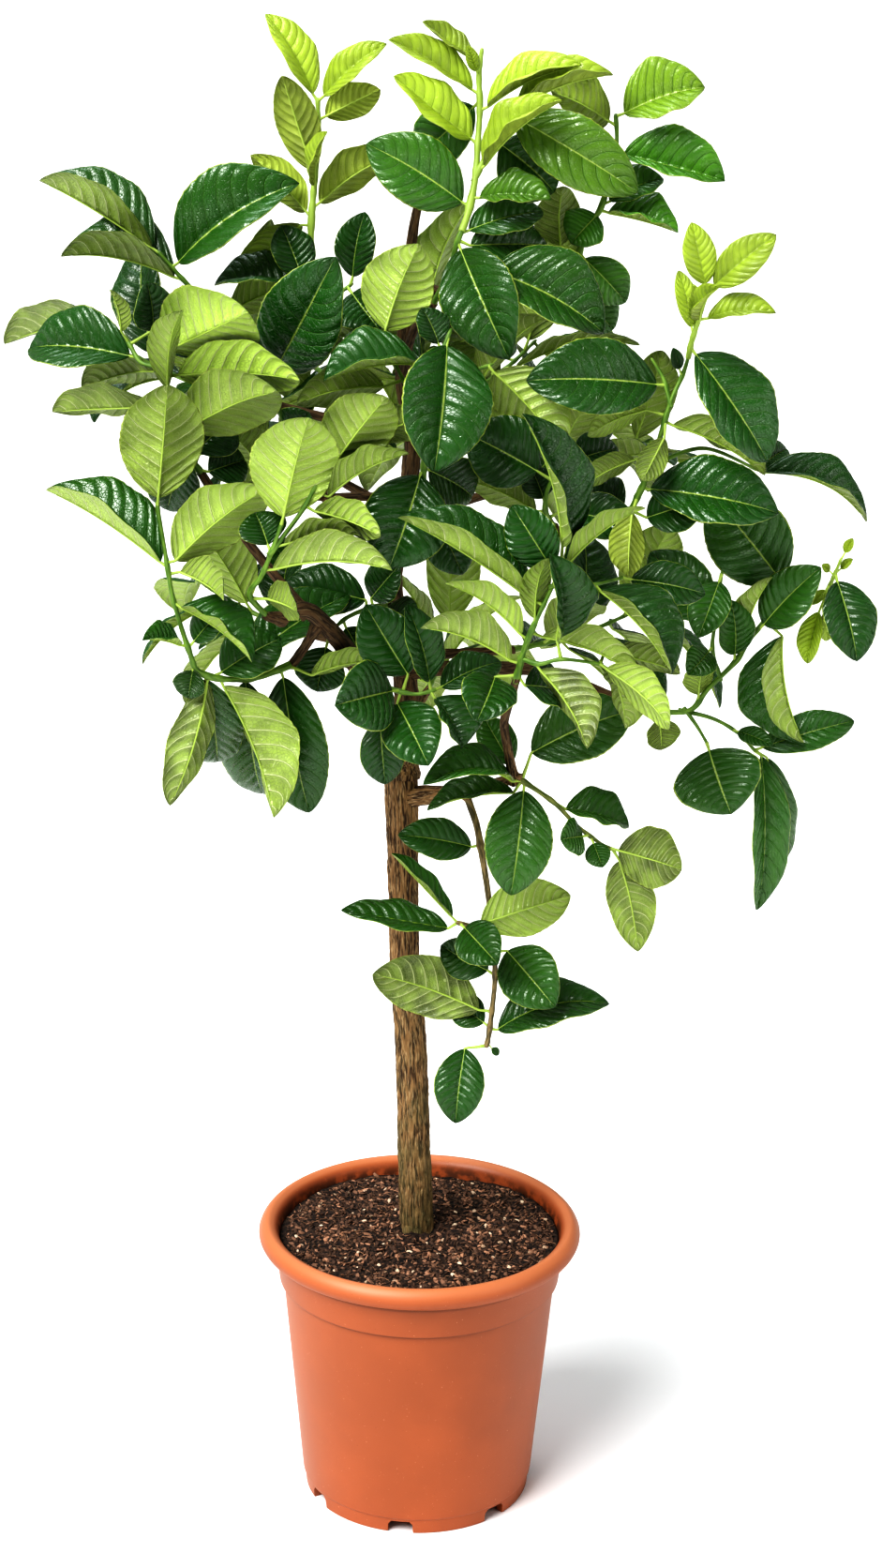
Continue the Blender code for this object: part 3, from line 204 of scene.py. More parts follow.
# The least share of each run of a stem, between two of its points, at which a leaf may root
FIRST_ROOT = 0.12
ROW_STEP = 0.0024
ROWS_FEWEST = 12
ROWS_MOST = 44
ROW_CROWDING = 0.45
BLADE_COLUMNS = np.array((-1.0, -0.96, -0.85, -0.66, -0.44, -0.23, -0.08, 0.0,
                          0.08, 0.23, 0.44, 0.66, 0.85, 0.96, 1.0))
THICKNESS = 0.00055
THINNING_POWER = 10
VEIN_SLANT = 0.13
VEIN_ARCH = 0.10
VEIN_POWER = 2.6
VEIN_STAGGER = 0.45
RIPPLE_SHARE = 0.035
RIPPLE_MOST = 0.0016
RIPPLE_RANGE = (0.6, 1.3)
# Waves along the left half, the right half and the margin of a blade
WAVES = (2.3, 2.7, 13.0)
EDGE_TEETH = 0.010
CUP = 0.07
ROLL = 0.05
ROLL_POWER = 6
# The groove over the midrib: depth, and half width as a share of the blade's
GROOVE = 0.0004
GROOVE_REACH = 0.05
# The bulges between side veins: how round, where they start and end, and the blade width they're full at
QUILT_ROUNDNESS = 0.7
QUILT_START = 0.12
QUILT_END = 0.15
QUILT_WIDTH = 0.045
SWAY = 0.018
TWIST = 0.16
TWIST_CENTRE = 0.3
TIP_DROOP = 0.022
# The rib: shares of the blade that it passes, and its radii from the petiole's root on
RIB_SIDES = 6
RIB_STEP = 0.004
RIB_KNEE = 0.55
RIB_LEAST = 0.45
RIB_WIDTH = 0.06
RIB_SHARES = (0.05, 0.16, 0.3, 0.45, 0.6, 0.75, 0.9)
RIB_RADII = (0.00155, 0.00115, 0.00105, 0.00100, 0.00090, 0.00078, 0.00066, 0.00054, 0.00042, 0.00024)

# Shoots of the back and the inside, which the picture doesn't show: heading in degrees from +X
# towards +Y, height on the leader, rise, length of the wood that leads there, all in mm.
HIDDEN_SHOOTS = {
    "back_low_right": (15, 680, 0, 85),
    "back_low_mid": (80, 670, 0, 90),
    "back_low_left": (150, 690, 5, 85),
    "back_mid_right": (12, 820, 20, 85),
    "back_mid_near_right": (48, 800, 20, 105),
    "back_mid": (90, 830, 25, 90),
    "back_mid_near_left": (132, 800, 20, 100),
    "back_mid_left": (172, 850, 20, 105),
    "back_high_right": (52, 890, 20, 45),
    "back_high_mid": (88, 885, 25, 65),
    "back_high_left": (135, 885, 25, 55),
}
# Which turn, tilt and size gives each hidden leaf room, numbered with the size counting first
HIDDEN_ROOM = {"back_mid_near_right": (0, 16, 0, 0, 0, 0, 0, 0), "back_high_right": (2, 0, 9, 0, 2, 24, 0, 1),
               "back_high_mid": (0, 18, 7, 6, 11, 8, 0, 16), "back_high_left": (1, 1, 1, 0, 1, 3, 0, 4)}
ROOM_TURNS = (0.0, 0.5, -0.5, 1.0, -1.0, 1.6, -1.6)
ROOM_TILTS = (0.0, 0.35, -0.35, 0.7)
ROOM_SIZES = (1.0, 0.8)
HIDDEN_STEM_RADIUS = 0.0021
HIDDEN_STEM = 0.105
HIDDEN_BEND = 0.45
HIDDEN_SLOPE = 0.15
# Points of a hidden stem: the share of its length, and how far it has curved up there
HIDDEN_STEM_CURVE = ((0.0, 0.0), (0.35, 0.0), (0.7, 0.004), (1.0, 0.012))
# Leaves of the hidden shoots, drawn at random between two values; widths are shares of the length
HIDDEN_LEAVES = 8
HIDDEN_PETIOLE = 0.009
HIDDEN_LENGTHS = (0.074, 0.098)
HIDDEN_WIDTHS = (0.50, 0.60)
HIDDEN_DROOPS = (-0.35, 0.15)
HIDDEN_FOLDS = (10, 30)
HIDDEN_BOW = 0.09
HIDDEN_LEAN = 0.45
HIDDEN_FACE_LEAN = 0.5
SPIRAL_STEP = math.radians(137.5)
SPIRAL_STRAY = 0.3
CROWN_SEED = 7

# Names of the values that each corner of a leaf or stem carries, and of each crumb's own number
PLACE = "place"
TINT = "tint"
CRUMB = "crumb"
# Spots of the finishes on a shoot
UPPER, UNDER, STEM, YOUNG_UPPER, YOUNG_UNDER = range(5)
LEAF_GLOSS = 0.8
LIME = (0.52, 0.66, 0.06)
FRESH_GREEN = (0.135, 0.345, 0.030)
RIB_COLOUR = (0.42, 0.54, 0.12)
MARGIN_COLOUR = (0.48, 0.58, 0.12)
# Leaves whose age differs from their shoot's: 0 is old and dark, 1 is young and lime
LEAF_YOUTH = {("right_main", 9): 1.0, ("young_top_mid", 6): 0.0, ("young_top_mid", 8): 0.0,
              ("young_top_mid", 9): 0.15, ("young_top_mid", 7): 0.1, ("young_top_mid", 11): 0.0,
              ("young_top_left", 7): 0.3, ("young_right", 6): 0.0, ("young_far_right", 6): 0.0,
              ("top_right", 0): 0.25, ("top_right", 1): 0.35}
# How far the upper sides of a shoot's leaves are a fresh mid green, from 0 to 1
FRESH = {"top_right": 0.8, "young_top_mid": 0.4, "young_top_left": 0.6, "top_centre": 0.25,
         "right_cluster": 0.3, "left_top": 0.15, "lower_centre": 0.35, "hanging": 0.2, "left_main": 0.2,
         "young_right": 0.1}
FRESH_REST = 0.08
FRESH_RANGE = (0.5, 1.2)
# Leaves whose tone is set, because the photo has them so: 0 to 1 is the usual range, dark to light
# Partly the leaves' own tone, partly painted light and shade: high values lighten leaves in shade, low ones
# darken leaves in full key light
LEAF_TONE_AND_LIGHT = {("left_main", 6): -0.25, ("left_main", 8): 0.15, ("lower_centre", 0): -0.45,
             ("junction", 13): -0.45, ("hanging", 5): -0.45, ("lower_centre", 5): -0.42,
             ("lower_centre", 6): -0.1, ("left_mid", 8): 2.0, ("left_mid", 6): 1.6,
             ("left_centre", 0): 0.9}
# Shoots whose stems have turned to brown wood
STEM_BROWN = {"hanging": 0.85, "lower_centre": 0.45}

# Stage: where the key light shines from, only its direction counts, and where the others stand
KEY_PLACE = Vector((-1.4, -1.5, 3.1))
FILL_PLACE = Vector((2.2, -1.4, 1.5))
FILL_SIZE = 1.4
TOP_PLACE = Vector((-0.3, 1.1, 2.8))
TOP_SIZE = 1.3
TOP_COLOUR = (0.86, 0.94, 1.0)
CROWN_MIDDLE = Vector((0.0, 0.0, 0.80))
FLOOR_CORNERS = ((-1, -1), (1, -1), (1, 1), (-1, 1))
FLOOR_DROP = -0.0002
FLOOR_WHITE = 0.94
SENSOR_HEIGHT = 36.0

# The crown's table. A trunk, limb, spur or shoot has a name, and but for the first two a radius in mm.
# Under it, each stem is a row of points (px, py, mm in front of the trunk's plane), with the radius
# in mm as a fourth number on the trunk and the limbs, and each row of more points carries it on.
# Leaves are (base px py, tip px py, mm that the tip is nearer than the root, turn in degrees, width in
# mm, fold in degrees, bow, mm that the base is nearer), and numbers left out are as Leaf has them.
CROWN_TABLE = """
trunk trunk
stem 444 1292 -4.5 13.3, 442 1230 -3.5 12.8, 440.2 1160 -2 12.4, 437.6 1100 -1 12.3, 432 1030 0 11.2
more 430.5 960 0 11.4, 429.5 900 0 11.9, 428.5 850 0 12.8, 428 818 0 12.2, 434 770 0 10.3, 430 700 0 8
more 418 622 5 4
limb leader
stem 428 822 0 10.5, 434 770 0 9.5, 430 700 0 8.5, 418 622 5 7.8, 431 550 8 7, 441 466 10 6.2
more 430 405 10 5.5, 434 310 8 4.6, 441 245 5 3.6, 450 200 0 2.4
limb left
stem 428 812 0 8.5, 405 760 45 7.6, 378 705 95 7, 330 652 140 5.8, 300 660 150 4
limb lower
stem 430 850 0 8, 455 848 12 7.4, 490 845 38 5, 520 838 68 4.4, 552 829 98 3.4
limb riser
stem 548 830 94 3.6, 542 800 120 3.4, 538 770 140 3.2, 545 745 160 3, 551 724 174 2.8
limb right_low
stem 432 715 0 6.5, 500 712 10 5.2, 580 716 30 4.4, 650 742 60 3.8, 697 758 80 3
limb right
stem 424 588 5 6.2, 500 575 40 5.2, 590 568 80 4.4, 650 562 102 3.4, 668 556 110 3
spur left_main 3.4
stem 340 665 130, 325 690 116, 312 708 108
spur left_centre 3.2
stem 300 660 150, 285 657 160
spur left_mid 3.2
stem 325 652 138, 270 585 118, 228 525 108, 215 505 108
spur upper_left 3.2
stem 434 538 8, 400 530 35, 345 530 60, 318 520 68
spur left_top 3
stem 350 530 58, 300 440 10, 262 370 15, 240 340 28
spur centre 3.2
stem 420 628 5, 426 592 62, 442 567 112, 452 556 130
spur top_centre 3
stem 430 405 10, 438 362 45, 452 335 72, 462 325 80
spur top_right 3
stem 436 300 8, 500 318 15, 560 312 35, 598 302 50
spur centre_right 2.8
stem 575 569 74, 588 570 92, 592 562 104
spur centre_low 2.8
stem 398 745 60, 388 728 92, 380 716 106
spur hanging 3
stem 488 845 36, 495 848 44, 499 852 47
spur inner_left 2.8
stem 423 656 4, 419 650 28, 414 645 48
shoot left_main 2.4
stem 312 708 108, 275 722 125, 238 724 140, 212 716 150, 203 698 156, 185 640 160, 178 600 160
more 168 540 150
leaf 168 532 178 409 15 172 62, 172 606 50 520 -30 58 66 50 0.03, 187 598 284 520 20 150 54
leaf 187 642 270 705 20 58 52 42, 192 610 240 640 30 120 40 30, 198 690 152 682 20 60 30 40
leaf 222 724 180 858 0 150 38 25 -0.08, 217 722 232 815 -62 0 44, 236 723 294 871 10 130 68 40
leaf 262 726 280 850 -92 -12 50 14 0.07 -12, 302 722 330 868 -10 0 50
leaf 265 704 373 633 -62 40 50 25 0.07 -6, 207 706 201 745 0 20 26, 230 715 300 680 -22 25 44
leaf 203 690 240 650 -2 30 28, 332 720 414 705 12 120 32 20 0.07 6
shoot left_centre 2.2
stem 285 657 160, 266 634 174, 278 616 182, 290 588 188, 300 560 190
stem 290 588 188, 322 545 186, 345 507 180, 388 474 165
leaf 300 558 329 444 20 170 64, 345 500 413 422 25 160 52, 350 530 436 482 -5 110 42 30
leaf 395 470 454 445 20 140 40, 287 610 419 606 10 118 52 30, 297 588 386 570 0 110 36 25
leaf 335 545 407 571 15 130 38, 255 650 318 652 25 130 38, 290 590 272 546 -15 10 36
shoot left_mid 2.2
stem 215 505 108, 192 470 122, 180 430 128, 175 396 124, 150 386 116, 135 362 106, 120 348 98
leaf 118 348 6 363 -105 118 52 25 0.05, 142 384 30 370 -40 32 60 30, 172 397 88 413 -50 130 44 20
leaf 165 434 56 437 -30 118 48 20 0, 150 358 118 308 10 120 22 20, 163 352 157 300 20 20 32
leaf 180 373 266 331 48 150 74 15 0, 185 420 192 330 57 150 32 40, 190 400 321 404 37 140 54 14 0.07 6
leaf 180 466 298 416 40 150 60, 205 485 246 445 -30 0 40, 196 480 178 545 -25 0 40
leaf 212 400 216 340 -34 10 42, 222 503 262 490 -25 10 34
shoot upper_left 2.2
stem 318 520 68, 305 455 85, 292 425 92, 290 400 92, 305 350 78, 326 306 56, 331 296 50
stem 305 350 78, 345 325 60, 374 304 50
leaf 287 402 357 275 40 10 62, 322 300 228 303 -10 60 50 30, 370 298 389 226 0 20 32
leaf 284 505 246 460 20 150 46, 300 465 330 440 10 0 34, 372 308 405 352 25 10 46
leaf 322 296 300 240 -5 20 34 14 0.07 6
shoot young_top_left 2.5
stem 331 296 50, 332 240 45, 335 200 40, 340 150 34, 339 108 30
leaf 343 102 284 14 -10 40 34 25, 344 103 412 46 10 40 30 25, 327 190 301 80 15 172 32
leaf 343 128 406 95 10 160 28 14 0.02, 340 222 427 161 -10 140 40 20 0.1, 328 232 268 165 -20 150 30 20
leaf 338 205 348 140 25 75 26 30, 322 240 250 297 -25 150 26 20
shoot left_top 2.2
stem 240 340 28, 215 318 34, 195 298 38, 170 270 36
leaf 163 274 43 190 -20 68 68 55 0.02, 190 302 65 271 -8 70 76 50, 183 285 318 194 5 36 76 34 0.1
leaf 240 332 320 303 -8 130 44
shoot centre 2.2
stem 452 556 130, 452 505 150, 453 455 160, 462 400 160, 480 354 150
stem 462 400 160, 500 396 142, 524 389 132
stem 453 440 160, 430 405 152, 414 368 140
leaf 447 388 345 405 10 60 60 40, 488 362 464 503 40 -18 70 20, 462 498 415 606 12 0 64
leaf 470 375 450 328 -10 30 28, 522 395 600 482 10 150 58, 411 352 447 260 -15 168 54
leaf 410 412 316 430 8 130 46, 462 545 494 613 0 0 38, 458 498 505 530 -40 10 40
shoot top_centre 2.4
stem 462 325 80, 478 292 90, 488 258 94, 494 243 92
stem 478 292 90, 500 286 98, 514 284 104
leaf 488 257 543 383 40 -8 58 18 0.14, 500 252 580 225 -20 40 36, 521 283 645 354 5 34 72 32
leaf 502 262 585 262 -40 25 44
shoot young_top_mid 2.7
stem 494 243 92, 500 225 85, 507 190 76, 510 150 67, 512 115 60, 511 80 55, 514 54 52
stem 507 190 76, 525 152 72, 542 118 66
leaf 510 68 451 22 0 55 26 35 -0.06, 507 101 415 41 5 50 36 35 0.02, 505 154 421 80 10 40 40 30 0
leaf 513 118 620 68 15 62 42 40, 512 183 599 106 25 60 46 45, 511 84 499 48 10 10 10
leaf 506 108 443 169 -30 10 42, 508 212 588 212 20 50 40 30, 528 150 592 205 -8 15
leaf 545 122 681 205 15 12 50, 545 112 654 78 0 65 44 45, 492 220 391 153 0 10 52
shoot top_right 2.3
stem 598 302 50, 613 285 54, 626 242 58, 640 224 58, 652 185 54, 658 152 50, 657 124 47
leaf 652 134 588 96 -20 140 46, 657 124 752 92 0 34 58 32 0.06, 661 163 774 192 10 40 60 42 0
leaf 640 218 708 190 -10 40 36 25, 640 222 724 247 10 62 48 35 0.03, 598 262 600 198 6 150 40
leaf 620 270 668 323 -10 0 33, 605 300 655 352 -20 0 36, 627 208 609 260 6 20 36
shoot right_main 2.3
stem 668 556 110, 680 530 120, 690 508 125, 703 470 130, 715 430 130, 729 398 125, 735 378 132
stem 715 430 130, 708 404 124, 696 384 120
stem 694 497 126, 750 478 104, 806 500 92
leaf 712 410 562 405 22 20 60 18, 730 402 718 371 8 10 10, 712 450 817 505 -8 118 52 25
leaf 812 504 926 555 -12 58 46 38 0.14, 690 523 831 546 12 30 60 25, 690 437 626 464 15 140 26
leaf 690 440 685 513 25 180 24 30, 678 490 620 520 10 130 28, 690 552 757 530 8 10 38
leaf 698 537 670 616 40 160 30 20, 810 502 840 478 -30 10 24, 668 548 624 522 -20 20 38
shoot young_right 2
stem 735 378 132, 738 364 139, 744 345 146, 755 312 150
leaf 757 305 738 237 0 10 24, 762 305 828 250 5 10 28, 752 343 828 333 10 50 30 30
leaf 742 355 740 303 12 30 14, 738 358 724 288 -12 10 16, 746 345 768 305 47 70 22 45
leaf 736 370 820 492 4 30 60 24
shoot centre_right 2
stem 592 562 104, 582 545 118, 585 520 128, 600 496 130
leaf 572 545 486 508 -10 130 44, 580 540 566 498 -5 20 28, 603 494 660 478 -30 10 34
leaf 598 545 682 560 10 15 36, 574 503 498 462 2 10 56 14 0.07 6
shoot junction 2.3
stem 551 724 174, 560 690 185, 575 655 195, 598 608 205
stem 590 625 202, 612 620 204, 630 624 203, 664 616 176
stem 557 702 181, 575 708 188, 600 703 192, 640 708 188
leaf 600 583 560 441 25 56 60 46, 578 670 583 594 30 150 24, 602 606 688 540 0 100 36 30
leaf 565 638 426 549 -10 66 66 50 0.03, 558 680 475 620 10 110 42 25, 545 705 449 668 6 112 54 30
leaf 594 681 588 591 25 48 54 40, 588 605 546 539 -5 -10 38, 578 679 686 724 10 115 46 25 0.07 -6
leaf 644 699 726 717 -16 120 38 14 0.07 -12, 640 715 716 776 42 130 42, 634 628 718 718 20 60 64 45
leaf 668 615 753 633 -5 20 34, 568 714 628 798 20 130 50 30, 528 722 509 769 45 0 42
leaf 560 731 606 743 -30 40 40, 650 714 668 776 -15 130 40 20
shoot lower_centre 1.9
stem 552 829 98, 590 855 104, 615 880 106, 640 899 106, 654 906 106
leaf 567 803 674 757 -20 15 54, 557 838 545 955 22 0 52, 598 837 672 881 -10 50 46 30 0.06
leaf 630 889 598 895 15 10 30, 628 893 643 925 10 0 20, 650 907 728 927 20 162 50
leaf 661 918 681 1014 0 168 38, 548 845 455 863 0 60 38 30, 548 825 452 835 50 50 44 30 0.16 -6
leaf 546 808 516 764 -52 8 30 14 0.07 12
shoot centre_low 2
stem 380 716 106, 405 730 122, 440 740 130, 463 736 130
leaf 435 719 390 645 0 0 46, 405 767 411 837 0 0 34, 424 747 358 752 40 0 54, 424 750 457 816 35 0 46
leaf 460 740 493 798 15 45 54 36, 458 727 434 644 8 30 34 25, 466 733 535 705 -30 30 32
shoot hanging 2.9
stem 499 852 47, 508 878 58, 514 910 66, 521 955 70, 526 1005 70, 528 1045 70, 522 1100 70, 519 1115 70
stem 525 992 70, 505 988 80, 488 984 85
leaf 503 903 425 890 12 15 34, 486 982 419 909 0 60 25 40 0, 478 990 364 969 5 50 38 20 0
leaf 490 988 531 1028 40 0 38, 504 990 609 954 5 165 46, 511 1077 397 1038 10 160 52
leaf 541 1014 592 1074 35 0 48, 531 1098 650 1069 -5 40 50 14 0.14, 496 1118 486 1198 20 0 40
leaf 518 1095 484 1068 -22 0 28, 520 1040 470 1008 -15 0 34, 522 1112 532 1125 0 20 7
shoot right_cluster 2.1
stem 697 758 80, 735 758 95, 755 735 97, 785 705 97, 803 678 95, 836 642 86, 866 638 80, 880 636 78
more 883 630 84
stem 768 722 97, 760 690 104, 766 650 108, 770 612 110
stem 728 758 92, 760 766 100, 785 780 102, 805 800 100
stem 732 758 94, 744 775 104, 754 792 110
leaf 834 620 758 526 -8 0 62, 755 660 694 588 -20 10 46, 770 606 745 680 25 10 32
leaf 807 670 875 605 20 12 40, 785 698 823 614 15 120 28 45, 834 678 856 793 18 -60 74 58
leaf 745 748 752 708 20 150 26, 758 690 734 719 30 0 26, 812 803 912 768 -20 20 32
leaf 780 778 825 795 25 20 16, 757 795 780 868 30 0 68, 812 806 809 972 0 35 40 30
leaf 818 808 835 923 -50 30 30, 782 704 780 640 10 20 30, 702 752 706 800 15 150 30
shoot inner_left 2
stem 414 645 48, 390 650 64, 368 660 76, 352 675 84
leaf 390 640 300 626 0 30 44, 402 640 446 668 20 20 34, 396 638 426 603 10 20 32
leaf 348 690 338 738 0 10 40, 372 668 390 712 -10 10 36
shoot young_far_right 1.6
stem 883 630 84, 889 616 94, 897 597 102
leaf 897 596 910 574 0 20 8, 891 612 910 596 5 20 7, 889 614 877 602 5 20 7, 884 622 866 645 10 20 9
leaf 874 652 861 708 4 20 22 30 0.07 6, 880 652 883 684 -4 20 14 14 0.07 6, 893 612 915 705 25 20 42
"""
Leaf = namedtuple("Leaf", "px py tip_px tip_py toward turn width fold bow nearer",
                  defaults=(10, 0, 56, 14, 0.07, 0))
Branch = namedtuple("Branch", "radius stems leaves")
# A shoot in space, and whether its main stem's end runs on into a younger shoot
Shoot = namedtuple("Shoot", "routes radius carried_on leaves")
# A leaf in space: `root` in its stem, blade from `base` to `tip`, `face` the way its upper side looks
Placed = namedtuple("Placed", "root base tip face width fold bow")
# A piece of wood: its points and radii, how many sides it has, and the way its end faces
Wood = namedtuple("Wood", "points radii sides last")


def seen(px, py, near):
    """Return the point that shows at a pixel and lies `near` mm in front of the trunk's plane."""
    place = Vector(((px - PICTURE_CENTRE[0]) / EYE_FOCAL, (py - PICTURE_CENTRE[1]) / EYE_FOCAL))
    across, down = Matrix.Rotation(EYE_ROLL, 2) @ place
    ray = AHEAD + across * Vector((1.0, 0.0, 0.0)) + down * BELOW
    reach = (-near * MM - EYE.y) / ray.y
    return EYE + reach * ray


def link(name, data):
    """Put a new object with some data in the scene."""
    thing = bpy.data.objects.new(name, data)
    bpy.context.scene.collection.objects.link(thing)
    return thing


def new_object(name, corners, faces):
    """Make an object from a list of corners and the faces between them."""
    mesh = bpy.data.meshes.new(name)
    mesh.from_pydata([tuple(corner) for corner in corners], [], faces)
    mesh.update()
    return link(name, mesh)


def between(low, high):
    """Return the faces between two rings, given as lists of their corners' numbers."""
    return [list(face) for face in zip(low, low[1:] + low[:1], high[1:] + high[:1], high)]


# Pot and soil

def rounded(profile):
    """Return a profile of (radius, height, rounding) points with each corner rounded off."""
    points = [Vector(point[:2]) for point in profile]
    result = [tuple(points[0])]
    for before, point, after, (_, _, rounding) in zip(points, points[1:], points[2:], profile[1:]):
        before, after = before - point, after - point
        reach = min(rounding, ROUNDING_SHARE * before.length, ROUNDING_SHARE * after.length)
        start = point + before.normalized() * reach
        end = point + after.normalized() * reach
        for step in range(ROUNDING_STEPS):
            share = step / (ROUNDING_STEPS - 1)
            result.append(tuple(start.lerp(point, share).lerp(point.lerp(end, share), share)))
    return result + [tuple(points[-1])]


def turned(profile, sides):
    """Turn a profile of (radius, height) points about the Z axis; a point of radius 0 is a pole."""
    corners = []
    rows = []
    for radius, height in profile:
        count = 1 if radius == 0.0 else sides
        rows.append([len(corners) + step % count for step in range(sides)])
        for step in range(count):
            angle = FULL_TURN * step / sides
            corners.append(Vector((radius * math.cos(angle), radius * math.sin(angle), height)))
    faces = []
    for low, high in zip(rows, rows[1:]):
        faces += [list(dict.fromkeys(face)) for face in between(low, high)]
    return corners, faces


def outward(thing):
    """Turn an object's faces so that they all point out."""
    mesh = bmesh.new()
    mesh.from_mesh(thing.data)
    bmesh.ops.recalc_face_normals(mesh, faces=mesh.faces)
    mesh.to_mesh(thing.data)
    mesh.free()
    return thing


def foot_heading(angle):
    """Return the direction that lies at an angle from the pot's front, -Y, towards +X."""
    return Vector((math.sin(angle), -math.cos(angle), 0.0))


def notch_cutter(angle):
    """Make the block, rounded at the top, that cuts one notch in the pot's foot."""
    out = foot_heading(angle)
    sideways = Vector((out.y, -out.x, 0.0))
    corners = []
    for radius in (FOOT_INNER_RADIUS - NOTCH_REACH, FOOT_RADIUS + NOTCH_REACH):
        corners += [out * radius + sideways * (NOTCH_HALF * share) + UP * height
                    for share, height in NOTCH_OUTLINE]
    count = len(NOTCH_OUTLINE)
    near, far = list(range(count)), list(range(count, 2 * count))
    return outward(new_object("notch", corners, [near, far[::-1]] + between(near, far)))


def drain_cutter(angle):
    """Make the short rod that cuts one drain hole in the pot's floor."""
    low, high = FLOOR_UNDER - DRAIN_REACH, FLOOR_TOP + DRAIN_REACH
    rod, faces = turned([(0.0, low), (DRAIN_RADIUS, low), (DRAIN_RADIUS, high), (0.0, high)], DRAIN_SIDES)
    shift = foot_heading(angle) * DRAIN_CIRCLE
    return outward(new_object("drain", [corner + shift for corner in rod], faces))


def plain_mesh(thing):
    """Turn an object and its modifiers into a plain mesh."""
    bpy.context.view_layer.update()
    view = bpy.context.evaluated_depsgraph_get()
    mesh = bpy.data.meshes.new_from_object(thing.evaluated_get(view))
    thing.modifiers.clear()
    thing.data = mesh
    mesh.name = thing.name
    return thing


def cut_away(thing, cutters):
    """Cut a group of shapes out of an object, and remove them."""
    group = bpy.data.collections.new("cutters")
    bpy.context.scene.collection.children.link(group)
    for cutter in cutters:
        bpy.context.scene.collection.objects.unlink(cutter)
        group.objects.link(cutter)
    step = thing.modifiers.new("Cut", "BOOLEAN")
    step.operand_type = "COLLECTION"
    step.collection = group
    step.operation = "DIFFERENCE"
    step.solver = "EXACT"
    plain_mesh(thing)
    for cutter in cutters:
        bpy.data.objects.remove(cutter, do_unlink=True)
    bpy.data.collections.remove(group)


def soil_height(radius, angle):
    """Return the height of the soil's uneven top."""
    bump = math.sin(3.0 * angle + 60.0 * radius) + math.sin(5.0 * angle - 90.0 * radius + 1.3)
    return SOIL_TOP + SOIL_BUMP * bump - SOIL_FALL * (radius / RIM_INNER_RADIUS) ** 4


def soil_shell(relief):
    """Return the soil as a closed shell with a lumpy top, and the faces that crumbs lie on."""
    share = (SOIL_EDGE - FLOOR_TOP) / (COLLAR_TOP - FLOOR_TOP)
    edge = INNER_FOOT_RADIUS + share * (INNER_TOP_RADIUS - INNER_FOOT_RADIUS) - GAP
    radii = list(np.linspace(SOIL_FIRST_RING, edge, SOIL_RINGS))
    corners = [UP * SOIL_TOP]
    rows = []
    for radius in radii + [INNER_FOOT_RADIUS - GAP]:
        rows.append(list(range(len(corners), len(corners) + SOIL_SECTORS)))
        for step in range(SOIL_SECTORS):
            angle = FULL_TURN * step / SOIL_SECTORS
            spot = Vector((radius * math.cos(angle), radius * math.sin(angle), 0.0))
            lumps = sum(height * noise.noise(spot * count) for count, height in SOIL_LUMPS)
            top = soil_height(radius, angle) + relief * lumps - SOIL_SINK
            spot.z = top if len(rows) <= SOIL_RINGS else FLOOR_TOP + GAP
            corners.append(spot)
    corners.append(UP * (FLOOR_TOP + GAP))
    faces = []
    bed = []
    for start, after, foot_after, foot in between(rows[0], rows[-1]):
        faces += [[0, start, after], [len(corners) - 1, foot_after, foot]]
    for radius, low, high in zip(radii, rows, rows[1:]):
        # The rings widen downwards, so the faces between them are turned over
        ring = [[face[0], *face[:0:-1]] for face in between(low, high)]
        faces += ring
        if BED_MIDDLE < radius < BED_EDGE:
            bed += ring
    return corners, faces, bed


# Where every stem and leaf lies, as the solids have them

def read_crown(table):
    """Return the table's branches, by kind and then by name."""
    crown = {"trunk": {}, "limb": {}, "spur": {}, "shoot": {}}
    for line in table.strip().split("\n"):
        word, rest = line.split(" ", 1)
        if word in crown:
            name, *radius = rest.split()
            branch = crown[word][name] = Branch(float(radius[0]) * MM if radius else None, [], [])
            continue
        rows = [tuple(map(float, row.split())) for row in rest.split(",")]
        if word == "stem":
            branch.stems.append(rows)
        elif word == "more":
            branch.stems[-1].extend(rows)
        else:
            branch.leaves.extend(Leaf(*row) for row in rows)
    return crown


def closest_on(stems, px, py):
    """Return the point in the picture, with its nearness, of the stems that lies closest to a pixel."""
    best = None
    for stem in stems:
        for start, end in zip(stem, stem[1:]):
            run = Vector((end[0] - start[0], end[1] - start[1]))
            offset = Vector((px - start[0], py - start[1]))
            share = min(max(offset.dot(run) / run.length_squared, FIRST_ROOT), 1.0)
            spot = [a + (b - a) * share for a, b in zip(start, end)]
            distance = math.hypot(px - spot[0], py - spot[1])
            if best is None or distance < best[0]:
                best = (distance, spot)
    return best[1]


def place_leaf(leaf, stems):
    """Put a leaf of the table in space, its upper side at the eye or turned towards the picture's top."""
    spot = closest_on(stems, leaf.px, leaf.py)
    root = seen(*spot)
    base = seen(leaf.px, leaf.py, spot[2] + leaf.nearer)
    tip = seen(leaf.tip_px, leaf.tip_py, spot[2] + leaf.toward)
    petiole = base - root
    heading = (tip - base).normalized()
    if petiole.length < PETIOLE_SHORTEST or petiole.normalized().dot(heading) < PETIOLE_BEND:
        base = root + heading * max(petiole.length, PETIOLE_SHORTEST)
        heading = (tip - base).normalized()
    eye = (EYE - base).normalized()
    face = (eye - heading * eye.dot(heading)).normalized()
    upward = face.cross(heading)
    if upward.z < 0.0:
        upward = -upward
    turn = math.radians(leaf.turn)
    face = math.cos(turn) * face + math.sin(turn) * upward
    return Placed(root, base, tip, face, leaf.width * MM, math.radians(leaf.fold), leaf.bow)


